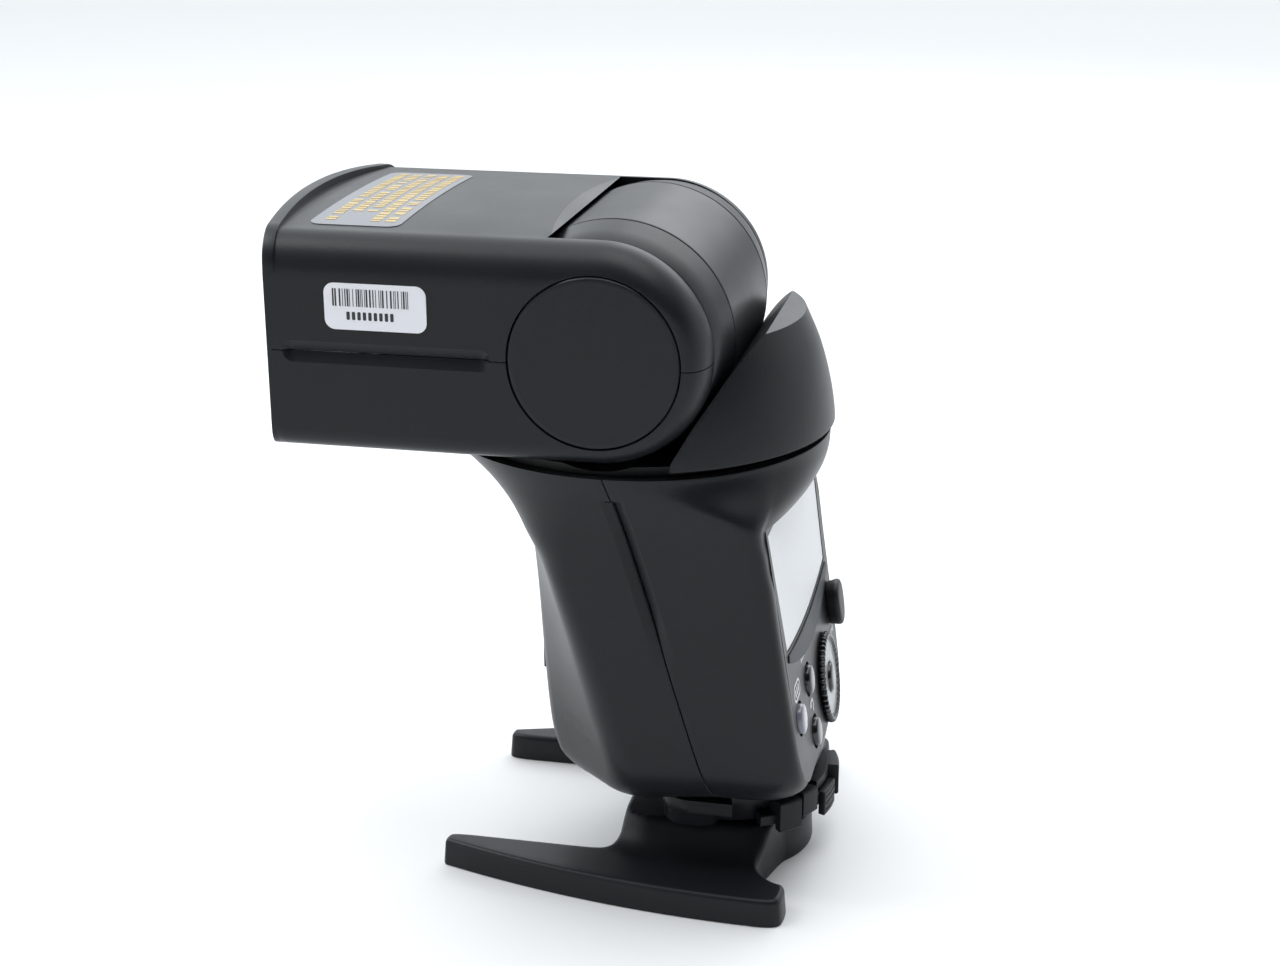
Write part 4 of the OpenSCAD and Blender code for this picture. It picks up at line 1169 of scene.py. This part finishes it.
def marks():
    """Plain bars and signs beside the keys, in place of words."""
    made = [mark(round_rect(-13.5 + 1.15 * k, 13.3, 0.75, 1.5, 0.2, 3)) for k in range(8)]
    pill = mark(round_rect(-21.3, 10.3, 6.8, 3.4, 1.65))
    made.append(boolean(pill, prism("pill_hole", round_rect(-21.3, 10.3, 5.9, 2.5, 1.2), -1, 1, on_panel)))
    made += [mark(round_rect(-22.9 + 1.6 * k, 10.3, 0.9, 1.5, 0.3, 4)) for k in range(3)]
    made.append(mark(arc(-8.6, 1.4, 1.5, -70, 160, 18) + arc(-8.6, 1.4, 0.95, 160, -70, 18)))
    made.append(mark([(-10.9, 1.6), (-9.2, 1.6), (-10.0, 3.3)]))
    made += [mark(round_rect(19 + 1.3 * k, 4.4, 0.8, 1.4, 0.2, 3)) for k in range(5)]
    return join(made)


def button(name, at, node_name, mat):
    r = KEY_R
    profile = [(0, -3.1), (r + 0.6, -3.1), (r + 0.6, -2.5), (r, -2.4), (r, 0.35), (r - 0.1, 0.68),
               (r - 0.4, 0.9), (r - 0.9, 1.02), (1.2, 1.09), (0, 1.1)]
    piece(smooth(revolve(name, profile, panel_at(at), 48), 40), node_name, mat, node_name)


def set_key():
    profile = [(0, -2.4), (2.92, -2.4), (2.92, 1.1), (2.8, 1.4), (2.4, 1.62), (1.5, 1.7), (0, 1.72)]
    return revolve("set_key", profile, panel_at(DIAL_AT), 56)


def dial():
    """A wheel whose rim is cut into round teeth."""
    place = panel_at(DIAL_AT)
    rings = []
    for i in range(TEETH * 6):
        a = 2 * math.pi * i / (TEETH * 6)
        cut = 0.5 * (0.5 - 0.5 * math.cos(a * TEETH)) ** 1.5
        profile = [(3.06, -2.4), (4.95, -2.4), (5.0, 0.1), (9.0 - cut, 0.1), (9.25 - cut, 0.3),
                   (9.3 - cut, 0.7), (9.2 - cut, 1.1), (8.9 - cut * 0.8, 1.36), (8.45, 1.44),
                   (8.05 + cut * 0.7, 1.36), (7.75 + cut * 0.5, 1.0), (7.5, 0.85), (4.2, 0.8), (3.06, 0.7)]
        rings.append([place(r * math.cos(a), r * math.sin(a), h) for r, h in profile])
    return loft("select_wheel", rings, wrap=True)


def wheel_face():
    profile = [(3.3, 0.7), (7.45, 0.72), (7.45, 0.9), (7.3, 0.98), (5.4, 0.93), (3.5, 0.98), (3.3, 0.9)]
    return revolve("wheel_face", profile, panel_at(DIAL_AT), 96)


def signed_power(value, power):
    return math.copysign(abs(value) ** power, value)


def power_tab():
    """A rounded thumb tab on a short post."""
    tab = []
    for a in (2 * math.pi * i / 56 for i in range(56)):
        u = 1.6 + 3.9 * signed_power(math.cos(a), 0.8) * (1 + 0.12 * math.sin(a))
        tab.append((u, 0.6 + 4.7 * signed_power(math.sin(a), 0.85)))
    place = panel_at(POWER_AT)
    levels = ((0.9, 0.1), (0.94, 0.3), (0.96, 1.0), (1.0, 1.8), (1.0, 2.2), (0.97, 2.5), (0.9, 2.72),
              (0.78, 2.84), (0.5, 2.9))
    o = loft("power_tab", [[place(u * k, v * k, w) for u, v in tab] for k, w in levels])
    return boolean(o, revolve("post", [(0, -2.4), (1.8, -2.4), (1.8, 0.5), (0, 0.5)], place, 40), "UNION")


shell(smooth(panel_plate(), 30, 0.25, 3, 50), "flash_body", "rear_panel")
glass = prism("display", lcd_shape(0.12), -1.3, -0.12, on_panel)
piece(smooth(glass, 30, 0.2, 3, 50), "flash_body", "display_glass", "lcd_window")
piece(smooth(apron(), 30, 0.25, 3, 50), "flash_body", "apron_painted_sheen", slot="dark_plastic")
piece(marks(), "flash_body", "white_ink", slot="white_card")
button("sub_key", SUB_AT, "sub_menu_button", "button_plastic")
button("bounce_key", BOUNCE_AT, "bounce_button", "smoked_button")
button("back_key", BACK_AT, "back_button", "button_plastic")
piece(smooth(set_key(), 40), "set_button", "button_plastic", "set_button")
piece(smooth(dial(), 38), "select_dial", "dial_gloss", "select_dial", slot="dark_plastic")
piece(smooth(wheel_face(), 30), "select_dial", "wheel_silver", slot="dark_plastic")
piece(smooth(power_tab(), 32), "power_lever", "dark_plastic", "power_lever")

# ---------- the other nodes keep their CAD shape, with broken edges and their own material ----------
KEPT_NODES = {
    "charcoal_plastic": ("battery_door",),
    "dark_plastic": ("contact_block", "base_plate", "battery_tray", "main_capacitor", "bearing_plate",
                     "swivel_base", "panel_tray", "zoom_carriage"),
    "steel": ("foot_plate", "foot_screws", "lock_pin", "door_hinge_pin", "battery_contacts", "pan_motor",
              "neck_bracket", "hinge_axle", "tilt_motor", "zoom_frame", "zoom_rods", "zoom_lead_screw",
              "zoom_motor"),
    "brass": ("tripod_bush", "foot_contacts"),
    "circuit_board": ("lcd_module", "main_board", "head_board"),
    "red_window": ("af_assist_window",),
    "cell_wrap": ("batteries",),
    "white_nylon": ("pan_pinion", "pan_gear"),
    "clear_panel": ("wide_panel",),
    "white_card": ("catchlight_panel",),
    "reflector_foil": ("reflector",),
    "tube_glass": ("flash_tube",),
}


def finish_node(o, mat):
    paint(o, mat)
    weld = o.modifiers.new("weld", "WELD")
    weld.merge_threshold = 1e-6
    bevel = o.modifiers.new("bevel", "BEVEL")
    bevel.width, bevel.segments, bevel.limit_method = 0.2 * MM, 2, "ANGLE"
    bevel.angle_limit = math.radians(40)
    weighted = o.modifiers.new("weighted", "WEIGHTED_NORMAL")
    weighted.keep_sharp = True


for mat, names in KEPT_NODES.items():
    for name in names:
        finish_node(frame["nodes"][name], mat)
